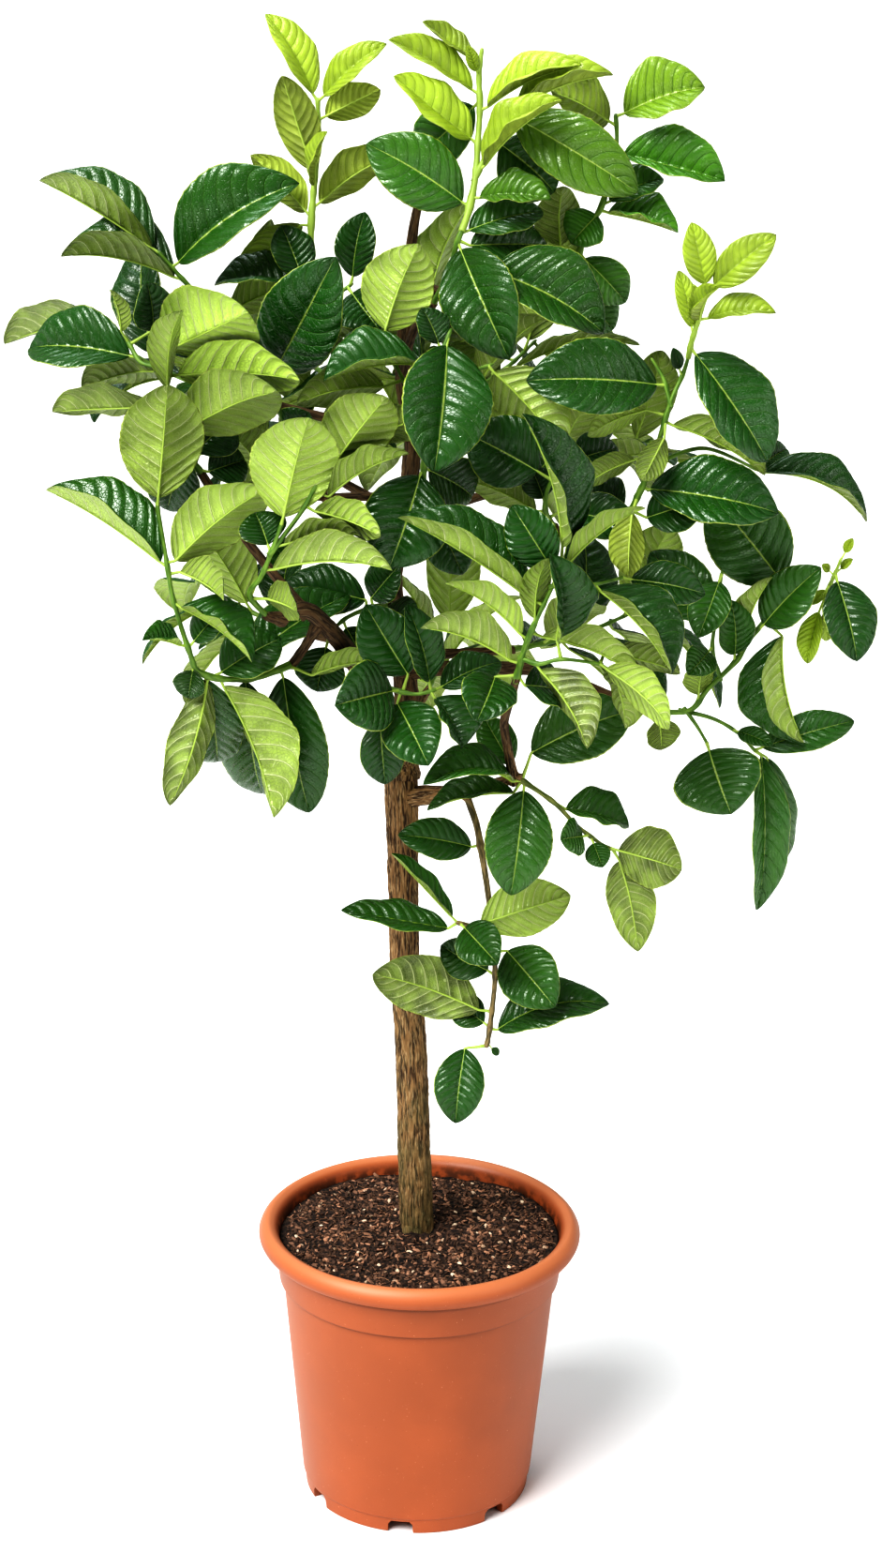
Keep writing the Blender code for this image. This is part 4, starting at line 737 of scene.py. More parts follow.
def hidden_route(leader, heading, height, rise, reach):
    """Return a hidden shoot's wood and stem routes: out from the leader, then gently upwards."""
    angle = math.radians(heading)
    out = Vector((math.cos(angle), math.sin(angle), 0.0))
    start = min(leader, key=lambda point: abs(point.z - height * MM))
    way = out * (reach * MM)
    lift = UP * (rise * MM)
    wood = [start, start + way * 0.5 + lift * HIDDEN_BEND, start + way + lift]
    slope = (out + UP * (HIDDEN_SLOPE + 2.0 * rise * MM)).normalized()
    return wood, [wood[-1] + slope * HIDDEN_STEM * share + UP * curve for share, curve in HIDDEN_STEM_CURVE]


def along(route, share):
    """Return the point at a share of a route's length."""
    lengths = [(b - a).length for a, b in zip(route, route[1:])]
    left = share * sum(lengths)
    for start, end, length in zip(route, route[1:], lengths):
        if left <= length:
            return start + (end - start) * (left / length)
        left -= length
    return route[-1].copy()


def hidden_leaf(stem, number, room, draw):
    """Place one leaf of a hidden shoot: it stands in a spiral round the stem, where it has room."""
    room, size = divmod(room, len(ROOM_SIZES))
    turn, tilt = divmod(room, len(ROOM_TILTS))
    root = along(stem, FIRST_ROOT + (1.0 - FIRST_ROOT) * number / (HIDDEN_LEAVES - 1))
    axis = (stem[-1] - stem[0]).normalized()
    angle = SPIRAL_STEP * number + draw.uniform(-SPIRAL_STRAY, SPIRAL_STRAY) + ROOM_TURNS[turn]
    length = draw.uniform(*HIDDEN_LENGTHS)
    width = length * draw.uniform(*HIDDEN_WIDTHS)
    droop = draw.uniform(*HIDDEN_DROOPS)
    fold = math.radians(draw.uniform(*HIDDEN_FOLDS))
    flat = UP.cross(axis).normalized()
    sideways = math.cos(angle) * flat + math.sin(angle) * axis.cross(flat)
    heading = (axis * (HIDDEN_LEAN + ROOM_TILTS[tilt]) + sideways + UP * droop).normalized()
    face = UP + axis * HIDDEN_FACE_LEAN
    face = (face - heading * face.dot(heading)).normalized()
    base = root + heading * HIDDEN_PETIOLE
    tip = base + heading * length * ROOM_SIZES[size]
    return Placed(root, base, tip, face, width * ROOM_SIZES[size], fold, HIDDEN_BOW)


def lay_out_crown():
    """Return the trunk's points, every shoot with its placed leaves, by name, and all other wood."""
    crown = read_crown(CROWN_TABLE)
    starts = {shoot.stems[0][0]: (seen(*shoot.stems[0][1]) - seen(*shoot.stems[0][0])).normalized()
              for shoot in crown["shoot"].values()}
    wood = []
    for limb in crown["limb"].values():
        route = limb.stems[0]
        wood.append(Wood([seen(*point[:3]) for point in route], [point[3] * MM for point in route],
                         LIMB_SIDES, starts.get(route[-1][:3])))
    for spur in crown["spur"].values():
        route = spur.stems[0]
        radii = [spur.radius * SPUR_FLARE] + [spur.radius] * (len(route) - 1)
        wood.append(Wood([seen(*point) for point in route], radii, TWIG_SIDES, starts[route[-1]]))
    shoots = {}
    for name, shoot in crown["shoot"].items():
        routes = [[seen(*point) for point in stem] for stem in shoot.stems]
        leaves = [place_leaf(leaf, shoot.stems) for leaf in shoot.leaves]
        shoots[name] = Shoot(routes, shoot.radius, shoot.stems[0][-1] in starts, leaves)
    draw = random.Random(CROWN_SEED)
    for name, hidden in HIDDEN_SHOOTS.items():
        route, stem = hidden_route(wood[0].points, *hidden)
        wood.append(Wood(route, HIDDEN_WOOD_RADII, TWIG_SIDES, (stem[1] - stem[0]).normalized()))
        rooms = HIDDEN_ROOM.get(name, (0,) * HIDDEN_LEAVES)
        leaves = [hidden_leaf(stem, number, room, draw) for number, room in enumerate(rooms)]
        shoots[name] = Shoot([stem], HIDDEN_STEM_RADIUS, False, leaves)
    return crown["trunk"]["trunk"].stems[0], shoots, wood


TRUNK, SHOOTS, WOOD = lay_out_crown()


# Meshes

class Skin:
    """Corners and faces that are gathered into one mesh, with a finish and two values for each."""

    def __init__(self):
        self.corners = []
        self.faces = []
        self.finishes = []
        self.places = []
        self.tints = []

    def add(self, shape, finish, tint):
        """Add a shell of corners, faces and places: one finish for it, or one a face, and one tint."""
        corners, faces, places = shape
        first = len(self.corners)
        self.corners.extend(map(tuple, corners))
        self.faces.extend([first + corner for corner in face] for face in faces)
        self.finishes.extend(finish if isinstance(finish, list) else [finish] * len(faces))
        self.places.extend(map(tuple, places))
        self.tints.extend([(*tint, 1.0)] * len(corners))

    def make(self, name, materials):
        """Make the object, shaded smooth."""
        thing = new_object(name, self.corners, self.faces)
        mesh = thing.data
        mesh.polygons.foreach_set("material_index", self.finishes)
        for label, kind, key, values in ((PLACE, "FLOAT_VECTOR", "vector", self.places),
                                         (TINT, "FLOAT_COLOR", "color", self.tints)):
            carried = mesh.attributes.new(label, kind, "POINT")
            carried.data.foreach_set(key, np.array(values, dtype=np.float32).ravel())
        mesh.shade_smooth()
        for material in materials:
            mesh.materials.append(material)
        return thing


def settle(piece, slot, *nodes):
    """Make a piece ride on the tree's one body, and hide the solids it stands for; `slot`, its finish's name,
    is not used.
    """
    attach(piece, "root")
    if nodes:
        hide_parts(*nodes)


def run_on(points, radii, before, after, last=None, end_share=1.0):
    """Return a route and its radii carried on a little past both ends."""
    first = (points[1] - points[0]).normalized()
    last = last or (points[-1] - points[-2]).normalized()
    return ([points[0] - first * before] + list(points) + [points[-1] + last * after],
            [radii[0]] + list(radii) + [radii[-1] * end_share])


def smooth_route(points, radii, step):
    """Return points about `step` apart on a smooth curve through a route, and the radius at each."""
    ends = [points[0] * 2.0 - points[1]] + points + [points[-1] * 2.0 - points[-2]]
    fine = []
    spots = []
    for number in range(len(points) - 1):
        before, start, end, after = ends[number:number + 4]
        count = max(2, round((end - start).length / step))
        for part in range(count):
            share = part / count
            fine.append(0.5 * (2.0 * start + (end - before) * share
                               + (2.0 * before - 5.0 * start + 4.0 * end - after) * share ** 2
                               + (3.0 * start - before - 3.0 * end + after) * share ** 3))
            spots.append(number + share)
    fine.append(points[-1].copy())
    spots.append(len(points) - 1.0)
    return fine, np.interp(spots, range(len(radii)), radii)


def grown_tube(route, radii, sides, relief=None):
    """Return a closed tube whose skin is raised by `relief(centre, around, along, radius)`.

    The third result is each corner's place on the bark: round the stem in two numbers, and along it.
    """
    corners = []
    places = []
    rows = []
    length = 0.0
    side = None
    for spot, (centre, radius) in enumerate(zip(route, radii)):
        before = route[max(spot - 1, 0)]
        after = route[min(spot + 1, len(route) - 1)]
        length += (centre - before).length
        heading = (after - before).normalized()
        side = side or heading.orthogonal()
        side = (side - heading * side.dot(heading)).normalized()
        other = heading.cross(side)
        rows.append(list(range(spot * sides, (spot + 1) * sides)))
        for step in range(sides):
            angle = FULL_TURN * step / sides
            out = math.cos(angle) * side + math.sin(angle) * other
            place = Vector((radius * math.cos(angle), radius * math.sin(angle), length))
            raised = relief(centre, out, place, radius) if relief else 0.0
            corners.append(centre + out * (radius + raised))
            places.append(place)
    faces = [rows[0][::-1]]
    for low, high in zip(rows, rows[1:]):
        faces += between(low, high)
    return corners, faces + [rows[-1]], places


def blade_width(share):
    """Return a citron blade's half width at a share of its length, as a share of its greatest."""
    widest = BLADE_BASE_POWER / (BLADE_BASE_POWER + BLADE_TIP_POWER)
    greatest = widest ** BLADE_BASE_POWER * (1.0 - widest) ** BLADE_TIP_POWER
    return share ** BLADE_BASE_POWER * (1.0 - share) ** BLADE_TIP_POWER / greatest


def blade_rows(length):
    """Return the shares of a blade's length that its rows lie at, closer together near both ends."""
    count = int(min(max(length / ROW_STEP, ROWS_FEWEST), ROWS_MOST))
    even = np.arange(1, count) / count
    return (1.0 - ROW_CROWDING) * even + ROW_CROWDING * (0.5 - 0.5 * np.cos(math.pi * even))


def fine_blade(placed, settings, draw):
    """Return a blade as a closed shell of corners, faces and places, each face's finish, and its rib."""
    length = (placed.tip - placed.base).length
    heading = np.array((placed.tip - placed.base).normalized())
    face = np.array(placed.face)
    side = np.cross(heading, face)
    share = blade_rows(length)[:, None]
    across = BLADE_COLUMNS[None, :]
    reach = np.abs(across)
    offset = draw.random()
    left_start, right_start, edge_start = (draw.uniform(0.0, FULL_TURN) for _ in range(3))
    ripple = draw.uniform(*RIPPLE_RANGE) * min(placed.width * RIPPLE_SHARE, RIPPLE_MOST)
    sway = draw.uniform(-SWAY, SWAY) * length
    twist = draw.uniform(-TWIST, TWIST)
    left_waves, right_waves, edge_waves = (FULL_TURN * count * share for count in WAVES)
    half = 0.5 * placed.width * blade_width(share) * (1.0 + EDGE_TEETH * np.sin(edge_waves + edge_start))
    out = half * across * math.cos(placed.fold)
    up = half * (reach * math.sin(placed.fold) + CUP * np.sin(math.pi * reach) - ROLL * reach ** ROLL_POWER)
    wave = np.where(across > 0.0, np.sin(right_waves + right_start), np.sin(left_waves + left_start))
    fade = np.sin(math.pi * share) ** 0.5
    up = up + ripple * wave * reach ** 2 * fade
    bend = VEIN_SLANT * reach + VEIN_ARCH * reach ** VEIN_POWER
    phase = settings.veins * (share - bend) + offset + VEIN_STAGGER * (across > 0.0)
    bulge = (0.5 - 0.5 * np.cos(FULL_TURN * phase)) ** QUILT_ROUNDNESS
    bulge = bulge * np.clip(reach / QUILT_START, 0.0, 1.0) * np.clip((1.0 - reach) / QUILT_END, 0.0, 1.0)
    up = up + settings.quilt * min(1.0, placed.width / QUILT_WIDTH) * bulge * fade
    up = up - GROOVE * np.exp(-(reach / GROOVE_REACH) ** 2) * fade
    turn = twist * (share - TWIST_CENTRE)
    out, up = out * np.cos(turn) - up * np.sin(turn), out * np.sin(turn) + up * np.cos(turn)
    rise = placed.bow * length * 4.0 * share * (1.0 - share) - TIP_DROOP * length * share ** 5
    out = out + sway * np.sin(math.pi * share)
    middle = (np.array(placed.base) + heading * (length * share[..., None])
              + side * out[..., None] + face * (up + rise)[..., None])
    normal = np.cross(np.gradient(middle, axis=1), np.gradient(middle, axis=0))
    normal /= np.linalg.norm(normal, axis=2, keepdims=True)
    thick = 0.5 * THICKNESS * (1.0 - reach ** THINNING_POWER)[..., None]
    rows, columns = middle.shape[:2]
    upper = middle + normal * thick
    lower = (middle - normal * thick)[:, 1:-1]
    tip = np.array(placed.tip) - face * (TIP_DROOP * length)
    corners = np.vstack([upper.reshape(-1, 3), lower.reshape(-1, 3), [placed.base], [tip]])
    spots = np.stack([np.broadcast_to(across, (rows, columns)), np.broadcast_to(share, (rows, columns)),
                      np.full((rows, columns), offset)], axis=2)
    places = np.vstack([spots.reshape(-1, 3), spots[:, 1:-1].reshape(-1, 3),
                        [(0.0, 0.0, offset), (0.0, 1.0, offset)]])
    top = np.arange(rows * columns).reshape(rows, columns)
    under = top.copy()
    under[:, 1:-1] = rows * columns + np.arange(rows * (columns - 2)).reshape(rows, columns - 2)
    root_corner, tip_corner = len(corners) - 2, len(corners) - 1
    faces = []
    finishes = []
    for grid, finish, order in ((top, UPPER, 1), (under, UNDER, -1)):
        quads = np.stack([grid[:-1, :-1], grid[:-1, 1:], grid[1:, 1:], grid[1:, :-1]], axis=2)
        # Both skins are cut along the same diagonals, so that neither shows through the other
        faces += np.roll(quads.reshape(-1, 4)[:, ::order], int(order < 0), axis=1).tolist()
        first, last = grid[0].tolist(), grid[-1].tolist()
        faces += [[root_corner, right, left][::order] for left, right in zip(first, first[1:])]
        faces += [[tip_corner, left, right][::order] for left, right in zip(last, last[1:])]
        finishes += [finish] * (len(faces) - len(finishes))
    rib = middle[:, columns // 2] - normal[:, columns // 2] * (0.5 * THICKNESS)
    return (corners, faces, places), finishes, rib


def leaf_rib(placed, rib):
    """Return the petiole and the raised midrib under the blade as one thin closed tube."""
    route = [placed.root, placed.root.lerp(placed.base, RIB_KNEE), placed.base]
    route += [Vector(rib[int(share * (len(rib) - 1))]) for share in RIB_SHARES]
    smooth, radii = smooth_route(route, RIB_RADII, RIB_STEP)
    return grown_tube(smooth, radii * min(1.0, RIB_LEAST + placed.width / RIB_WIDTH), RIB_SIDES)


def stem_skin(route, radii, leaves, carried_on):
    """Return a stem with swellings where its leaves stand; its ends run into the wood that meets it."""
    end_share = 1.0 if carried_on else STEM_TIP_SHARE
    points, radii = run_on(route, radii, STEM_START, STEM_END, end_share=end_share)
    smooth, radii = smooth_route(points, radii, STEM_STEP)

    def swelling(centre, out, place, radius):
        """Swell at each leaf, and bow in and out a little all along."""
        near = sum(math.exp(-((centre - leaf.root).length / SWELLING_REACH) ** 2) for leaf in leaves)
        wave = noise.noise(place * STEM_WAVES)
        return radius * (STEM_SWELLING * min(near, SWELLING_MOST) + STEM_WAVE * wave)

    return grown_tube(smooth, radii, STEM_SIDES, swelling)


def bark_relief(depth):
    """Return the relief of furrowed bark: winding ridges, long along the stem and narrow across it."""
    def relief(centre, out, place, radius):
        """Raise the ridges, lower on thin wood, and swell the wood a little in places."""
        spot = place + noise.noise_vector(place * WANDER_WAVES) * WANDER
        wide = noise.noise(spot * WIDE_RIDGES)
        fine = noise.noise(spot * FINE_RIDGES + FINE_START)
        ridge = min(abs(wide) * RIDGE_SLOPE, 1.0) + FINE_SHARE * min(abs(fine) * RIDGE_SLOPE, 1.0)
        furrows = min(1.0, radius / FULL_BARK) * depth * (RIDGE_HEIGHT * ridge - RIDGE_SINK)
        return furrows + WOOD_SWELLING * radius * noise.noise(place * WOOD_SWELLINGS)
    return relief


# Looks

class Tree:
    """A node tree; adding a node returns one of its outputs."""

    def __init__(self, tree):
        self.tree = tree

    def add(self, kind, inputs=None, output=0, **options):
        """Add a node with its options, and set its inputs or link them to other nodes' outputs."""
        node = self.tree.nodes.new(kind)
        for option, value in options.items():
            setattr(node, option, value)
        for key, value in (inputs or {}).items():
            if isinstance(value, bpy.types.NodeSocket):
                self.tree.links.new(value, node.inputs[key])
            else:
                node.inputs[key].default_value = value
        return node.outputs[output]

    def vector(self, operation, *values, output=0):
        """Add a vector math node."""
        return self.add("ShaderNodeVectorMath", dict(enumerate(values)), output, operation=operation)


class Look(Tree):
    """A material with one Principled shader, whose colour is laid on in coats."""

    def __init__(self, name, roughness):
        self.material = bpy.data.materials.new(name)
        self.material.use_nodes = True
        super().__init__(self.material.node_tree)
        self.shader = self.tree.nodes["Principled BSDF"].inputs
        self.shader["Roughness"].default_value = roughness
        self.colour = None

    def math(self, operation, *values):
        """Add a math node."""
        return self.add("ShaderNodeMath", dict(enumerate(values)), operation=operation)

    def times(self, first, second):
        """Multiply two values."""
        return self.math("MULTIPLY", first, second)

    def ramp(self, value, low, high):
        """Map a value smoothly to 0 at `low` and 1 at `high`."""
        inputs = {"Value": value, "From Min": low, "From Max": high}
        return self.add("ShaderNodeMapRange", inputs, interpolation_type="SMOOTHSTEP")

    def cloud(self, source, scale, detail=3.0, stretch=(1.0, 1.0, 1.0)):
        """Noise over coordinates, stretched along an axis if asked."""
        mapped = self.add("ShaderNodeMapping", {"Vector": source, "Scale": stretch})
        return self.add("ShaderNodeTexNoise", {"Vector": mapped, "Scale": scale, "Detail": detail})

    def place(self):
        """Return a piece's own coordinates."""
        return self.add("ShaderNodeTexCoord", output="Object")

    def height(self, place):
        """Return the height of a place."""
        return self.add("ShaderNodeSeparateXYZ", {0: place}, 2)

    def read(self, name, output):
        """Return one output of a named attribute of the mesh."""
        return self.add("ShaderNodeAttribute", None, output, attribute_name=name)

    def tints(self):
        """Return the tint that a corner carries, as three numbers."""
        return self.add("ShaderNodeSeparateColor", {0: self.read(TINT, "Color")}).node.outputs

    def mix(self, share, first, second, **options):
        """Mix two colours by a share from 0 to 1, and take the result for the colour."""
        ends = [(*end, 1.0) if isinstance(end, tuple) else end for end in (first, second)]
        inputs = {0: share, 6: ends[0], 7: ends[1]}
        self.colour = self.add("ShaderNodeMix", inputs, 2, data_type="RGBA", **options)
        return self.colour

    def lay(self, mask, colour, share=1.0):
        """Lay a colour over the one so far, where a mask says and by a share of it."""
        return self.mix(self.times(mask, share), self.colour, colour)

    def link(self, value, name):
        """Link a value to one of the shader's inputs."""
        self.tree.links.new(value, self.shader[name])

    def finish(self, height, distance, strength):
        """Link the colour, and a bump from a height, to the shader; return the material."""
        self.link(self.colour, "Base Color")
        bump = {"Height": height, "Distance": distance, "Strength": strength}
        self.link(self.add("ShaderNodeBump", bump), "Normal")
        return self.material


def scaled(colour, factor):
    """Return a colour made darker or lighter."""
    return tuple(min(1.0, part * factor) for part in colour)


def pot_material(colour):
    """Satin terracotta-coloured plastic: specks, a painted highlight on the bead, painted shade in the
    grooves, and dust inside the rim.
    """
    look = Look("terracotta_plastic", 0.45)
    place = look.place()
    mottle = look.cloud(place, 9.0, 4.0)
    specks = look.cloud(place, 950.0, 2.0)
    look.mix(look.ramp(mottle, 0.35, 0.68), scaled(colour, 0.90), scaled(colour, 1.07))
    look.lay(look.ramp(specks, 0.72, 0.78), scaled(colour, 0.5))
    look.lay(look.ramp(specks, 0.27, 0.22), (0.72, 0.36, 0.22))
    height = look.height(place)
    radius = look.vector("LENGTH", look.vector("MULTIPLY", place, (1.0, 1.0, 0.0)), output="Value")
    # Painted highlight: the outer part of the rim's bead is laid over with a paler colour
    bead = look.ramp(height, COLLAR_TOP + 0.0070, RIM_TOP)
    look.lay(bead, BEAD_HIGHLIGHT, look.ramp(radius, RIM_INNER_RADIUS, RIM_INNER_RADIUS + 0.0040))
    # Painted shade: a dark line in each of the two grooves
    for groove, reach in GROOVE_SHADOWS:
        away = look.math("ABSOLUTE", look.math("SUBTRACT", height, groove))
        look.lay(look.ramp(away, reach, 0.3 * reach), scaled(colour, 0.38), 0.62)
    dust = look.ramp(radius, RIM_INNER_RADIUS + 0.0024, RIM_INNER_RADIUS + 0.0008)
    for mask in (look.ramp(height, RIM_TOP - 0.0030, SOIL_EDGE + 0.0010),
                 look.ramp(height, SOIL_EDGE - 0.0030, SOIL_EDGE - 0.0020),
                 look.ramp(look.cloud(place, 110.0, 5.0), 0.36, 0.56)):
        dust = look.times(dust, mask)
    look.lay(dust, (0.050, 0.024, 0.013), 0.80)
    look.link(look.math("MULTIPLY_ADD", mottle, 0.18, 0.36), "Roughness")
    return look.finish(look.cloud(place, 500.0), 0.0004, 0.10)


def soil_material():
    """Damp dark potting mix between the crumbs."""
    look = Look("potting_mix", 0.9)
    grain = look.cloud(look.place(), 320.0, 5.0)
    look.mix(look.ramp(grain, 0.35, 0.70), (0.008, 0.005, 0.004), (0.060, 0.034, 0.022))
    return look.finish(grain, 0.0015, 0.8)


def crumb_material(crumb):
    """Crumbs whose colour runs from dark to light, each with its own, more of them dark."""
    look = Look(crumb.name, 0.8)
    own = look.math("POWER", look.read(CRUMB, "Fac"), crumb.darkness)
    grain = look.cloud(look.place(), 900.0)
    look.mix(look.math("MULTIPLY_ADD", grain, 0.3, look.times(own, 0.85)), crumb.dark, crumb.light)
    return look.finish(grain, 0.0005, 0.5)


def bark_material():
    """Brown bark: dark winding furrows, pale ridges, grey-green near the foot, and painted shade in the
    crown.
    """
    look = Look("bark", 0.85)
    place = look.read(PLACE, "Vector")
    warp = look.add("ShaderNodeTexNoise", {"Vector": place, "Scale": 110.0, "Detail": 1.0}, "Color")
    spot = look.vector("ADD", place, look.vector("MULTIPLY", warp, (0.0016, 0.0016, 0.0016)))
    furrows = look.cloud(spot, 560.0, 4.0, (1.0, 1.0, 0.10))
    strands = look.cloud(spot, 1300.0, 3.0, (1.0, 1.0, 0.07))
    height = look.height(look.place())
    low = look.times(look.ramp(height, 0.50, 0.23), look.ramp(look.cloud(look.place(), 36.0), 0.30, 0.62))
    look.mix(look.ramp(furrows, 0.40, 0.58), (0.042, 0.021, 0.009), (0.260, 0.155, 0.070))
    look.lay(look.ramp(strands, 0.50, 0.68), (0.56, 0.41, 0.23), 0.60)
    look.lay(low, (0.150, 0.145, 0.060), 0.50)
    # Painted shade: the wood is darkened from 0.62 m up, fully above 0.70 m, as if shaded by the leaves
    look.lay(look.ramp(height, 0.62, 0.70), (0.030, 0.017, 0.009), 0.60)
    return look.finish(look.math("MULTIPLY_ADD", strands, 0.4, furrows), 0.0014, 0.85)


def vein_masks(look, veins):
    """Return masks of a blade's midrib, side veins, what lies beside and between them, net and margin."""
    place = look.read(PLACE, "Vector")
    parts = look.add("ShaderNodeSeparateXYZ", {0: place}).node.outputs
    reach = look.math("ABSOLUTE", parts[0])
    arch = look.times(look.math("POWER", reach, VEIN_POWER), VEIN_ARCH)
    bend = look.math("MULTIPLY_ADD", reach, VEIN_SLANT, arch)
    other_half = look.times(look.math("GREATER_THAN", parts[0], 0.0), VEIN_STAGGER)
    phase = look.math("MULTIPLY_ADD", look.math("SUBTRACT", parts[1], bend), float(veins), parts[2])
    phase = look.math("FRACT", look.math("ADD", look.math("ADD", phase, other_half), 4.5))
    off_vein = look.math("ABSOLUTE", look.math("SUBTRACT", phase, 0.5))
    side = look.times(look.ramp(off_vein, 0.070, 0.015), look.ramp(reach, 0.97, 0.75))
    halo = look.times(look.ramp(off_vein, 0.22, 0.02), look.ramp(reach, 1.0, 0.6))
    bulge = look.ramp(off_vein, 0.0, 0.42)
    midrib = look.ramp(reach, look.math("MULTIPLY_ADD", parts[1], -0.022, 0.045), 0.008)
    margin = look.ramp(reach, 0.955, 0.985)
    spread = look.add("ShaderNodeMapping", {"Vector": place, "Scale": (7.0, 26.0, 3.0)})
    net = look.add("ShaderNodeTexVoronoi", {"Vector": spread, "Scale": 1.7}, feature="DISTANCE_TO_EDGE")
    return midrib, side, halo, bulge, look.ramp(net, 0.09, 0.0), margin


def leaf_material(name, colour, vein_colour, roughness, veins, shares, raised):
    """A blade's skin: a tint for each leaf, partly its own tone and partly painted light and shade, midrib,
    side veins, fine net and margin.

    `shares` says how strongly the net, the glow beside the side veins, and the veins themselves show.
    """
    look = Look(name, roughness)
    look.shader["Specular IOR Level"].default_value = LEAF_GLOSS
    tone, youth, fresh = look.tints()
    midrib, side, halo, bulge, net, margin = vein_masks(look, veins)
    mottle = look.cloud(look.place(), 60.0)
    # Each leaf's tone scales its colour; random tones are the leaves' own, listed ones are partly painted
    # light and shade, and may pass 0 and 1
    look.mix(tone, scaled(colour, 0.60), scaled(colour, 1.20), clamp_factor=False)
    if name == "leaf_upper":
        look.lay(fresh, FRESH_GREEN)
    look.lay(look.ramp(mottle, 0.35, 0.70), scaled(colour, 1.6), 0.40)
    look.lay(youth, LIME)
    for mask, share in zip((net, halo, side), shares):
        look.lay(mask, vein_colour, share)
    look.lay(midrib, RIB_COLOUR, 0.85)
    look.lay(margin, MARGIN_COLOUR, 0.90)
    look.link(look.math("MULTIPLY_ADD", mottle, 0.16, roughness - 0.08), "Roughness")
    relief = look.times(side, raised)
    for mask, height in ((bulge, -raised), (net, 0.35 * raised), (mottle, 0.30)):
        relief = look.math("MULTIPLY_ADD", mask, height, relief)
    return look.finish(relief, 0.0010, 1.0)


def stem_material():
    """Green stems and petioles, brown and corky where they are old."""
    look = Look("stem", 0.5)
    _, youth, age = look.tints()
    grain = look.cloud(look.read(PLACE, "Vector"), 500.0, 4.0, (1.0, 1.0, 0.2))
    brown = look.mix(look.ramp(grain, 0.4, 0.6), (0.075, 0.042, 0.022), (0.27, 0.175, 0.095))
    look.mix(look.ramp(grain, 0.3, 0.7), (0.070, 0.150, 0.020), (0.190, 0.310, 0.050))
    look.lay(youth, (0.44, 0.57, 0.12))
    look.lay(age, brown)
    return look.finish(grain, 0.0005, 0.4)


# Crumbs on the soil, made with geometry nodes

def scatter_tree(crumb):
    """Make the tree that scatters crumbs over a bed, each with its own size, turn and number."""
    group = bpy.data.node_groups.new(crumb.name, "GeometryNodeTree")
    tree = Tree(group)
    for label, way, kind in CRUMB_SOCKETS:
        group.interface.new_socket(label, in_out=way, socket_type=kind)
    inputs = group.nodes.new("NodeGroupInput").outputs
    seed = inputs["Seed"]
    if crumb.radius:
        shape = tree.add("GeometryNodeCurveQuadraticBezier", FIBRE_BEND)
    else:
        shape = tree.add("GeometryNodeMeshIcoSphere", {"Radius": 1.0, "Subdivisions": crumb.fineness})
    points = tree.add("GeometryNodeDistributePointsOnFaces",
                      {"Mesh": inputs["Geometry"], "Distance Min": inputs["Spacing"],
                       "Density Max": inputs["Density"], "Seed": seed}, distribute_method="POISSON")
    tilt = crumb.tilt
    ends = ((crumb.smallest, crumb.largest), ((-tilt, -tilt, 0.0), (tilt, tilt, 6.283)))
    size, turn = (tree.add("FunctionNodeRandomValue", {0: low, 1: high, "Seed": seed},
                           data_type="FLOAT_VECTOR") for low, high in ends)
    placed = tree.add("GeometryNodeInstanceOnPoints",
                      {"Points": points, "Instance": shape, "Rotation": turn, "Scale": size})
    number = tree.add("FunctionNodeRandomValue", {"Seed": seed}, 1, data_type="FLOAT")
    placed = tree.add("GeometryNodeStoreNamedAttribute", {"Geometry": placed, "Name": CRUMB, "Value": number},
                      data_type="FLOAT", domain="INSTANCE")
    real = tree.add("GeometryNodeRealizeInstances", {0: placed})
    if crumb.radius:
        ring = tree.add("GeometryNodeCurvePrimitiveCircle", {"Resolution": 3, "Radius": crumb.radius})
        shaped = tree.add("GeometryNodeCurveToMesh",
                          {"Curve": real, "Profile Curve": ring, "Fill Caps": True})
    else:
        rough = tree.add("ShaderNodeTexNoise", {"Scale": 520.0, "Detail": 2.0}, "Color")
        centred = tree.vector("SUBTRACT", rough, (0.5, 0.5, 0.5))
        shift = tree.add("ShaderNodeVectorMath", {0: centred, "Scale": inputs["Roughening"]},
                         operation="SCALE")
        shaped = tree.add("GeometryNodeSetPosition", {"Geometry": real, "Offset": shift})
    finish = tree.add("GeometryNodeSetMaterial", {"Geometry": shaped, "Material": inputs["Finish"]})
    group.links.new(finish, group.nodes.new("NodeGroupOutput").inputs[0])
    return group


def run_tree(thing, tree, values):
    """Give an object a tree with its inputs set by identifier, and turn the result into a plain mesh."""
    step = thing.modifiers.new("Crumbs", "NODES")
    step.node_group = tree
    for item in tree.interface.items_tree:
        if item.in_out == "INPUT" and item.name in values:
            step[item.identifier] = values[item.name]
    return plain_mesh(thing)


# Settings

def colour_setting(name, description, *colour):
    """Return a colour setting."""
    return FloatVectorProperty(name=name, description=description, subtype="COLOR", size=3, min=0.0,
                               max=1.0, default=colour)


class PotSettings(bpy.types.PropertyGroup):
    """Plastic pot."""

    colour: colour_setting("Colour", "Terracotta-coloured plastic", 0.355, 0.102, 0.034)
    sides: IntProperty(name="Sides", description="Steps round the turned pot", default=168, min=35)


class SoilSettings(bpy.types.PropertyGroup):
    """Potting mix in the pot."""

    seed: IntProperty(name="Seed", description="Seed of the scattered crumbs", default=11)
    relief: FloatProperty(name="Relief", description="Height of the lumps", unit="LENGTH", default=0.0024)
    chips: FloatProperty(name="Chips", description="Bark chips for each square metre", default=90000.0)
    fibres: FloatProperty(name="Fibres", description="Fibres for each square metre", default=24000.0)
    grains: FloatProperty(name="Grains", description="Pale grains for each square metre", default=4200.0)


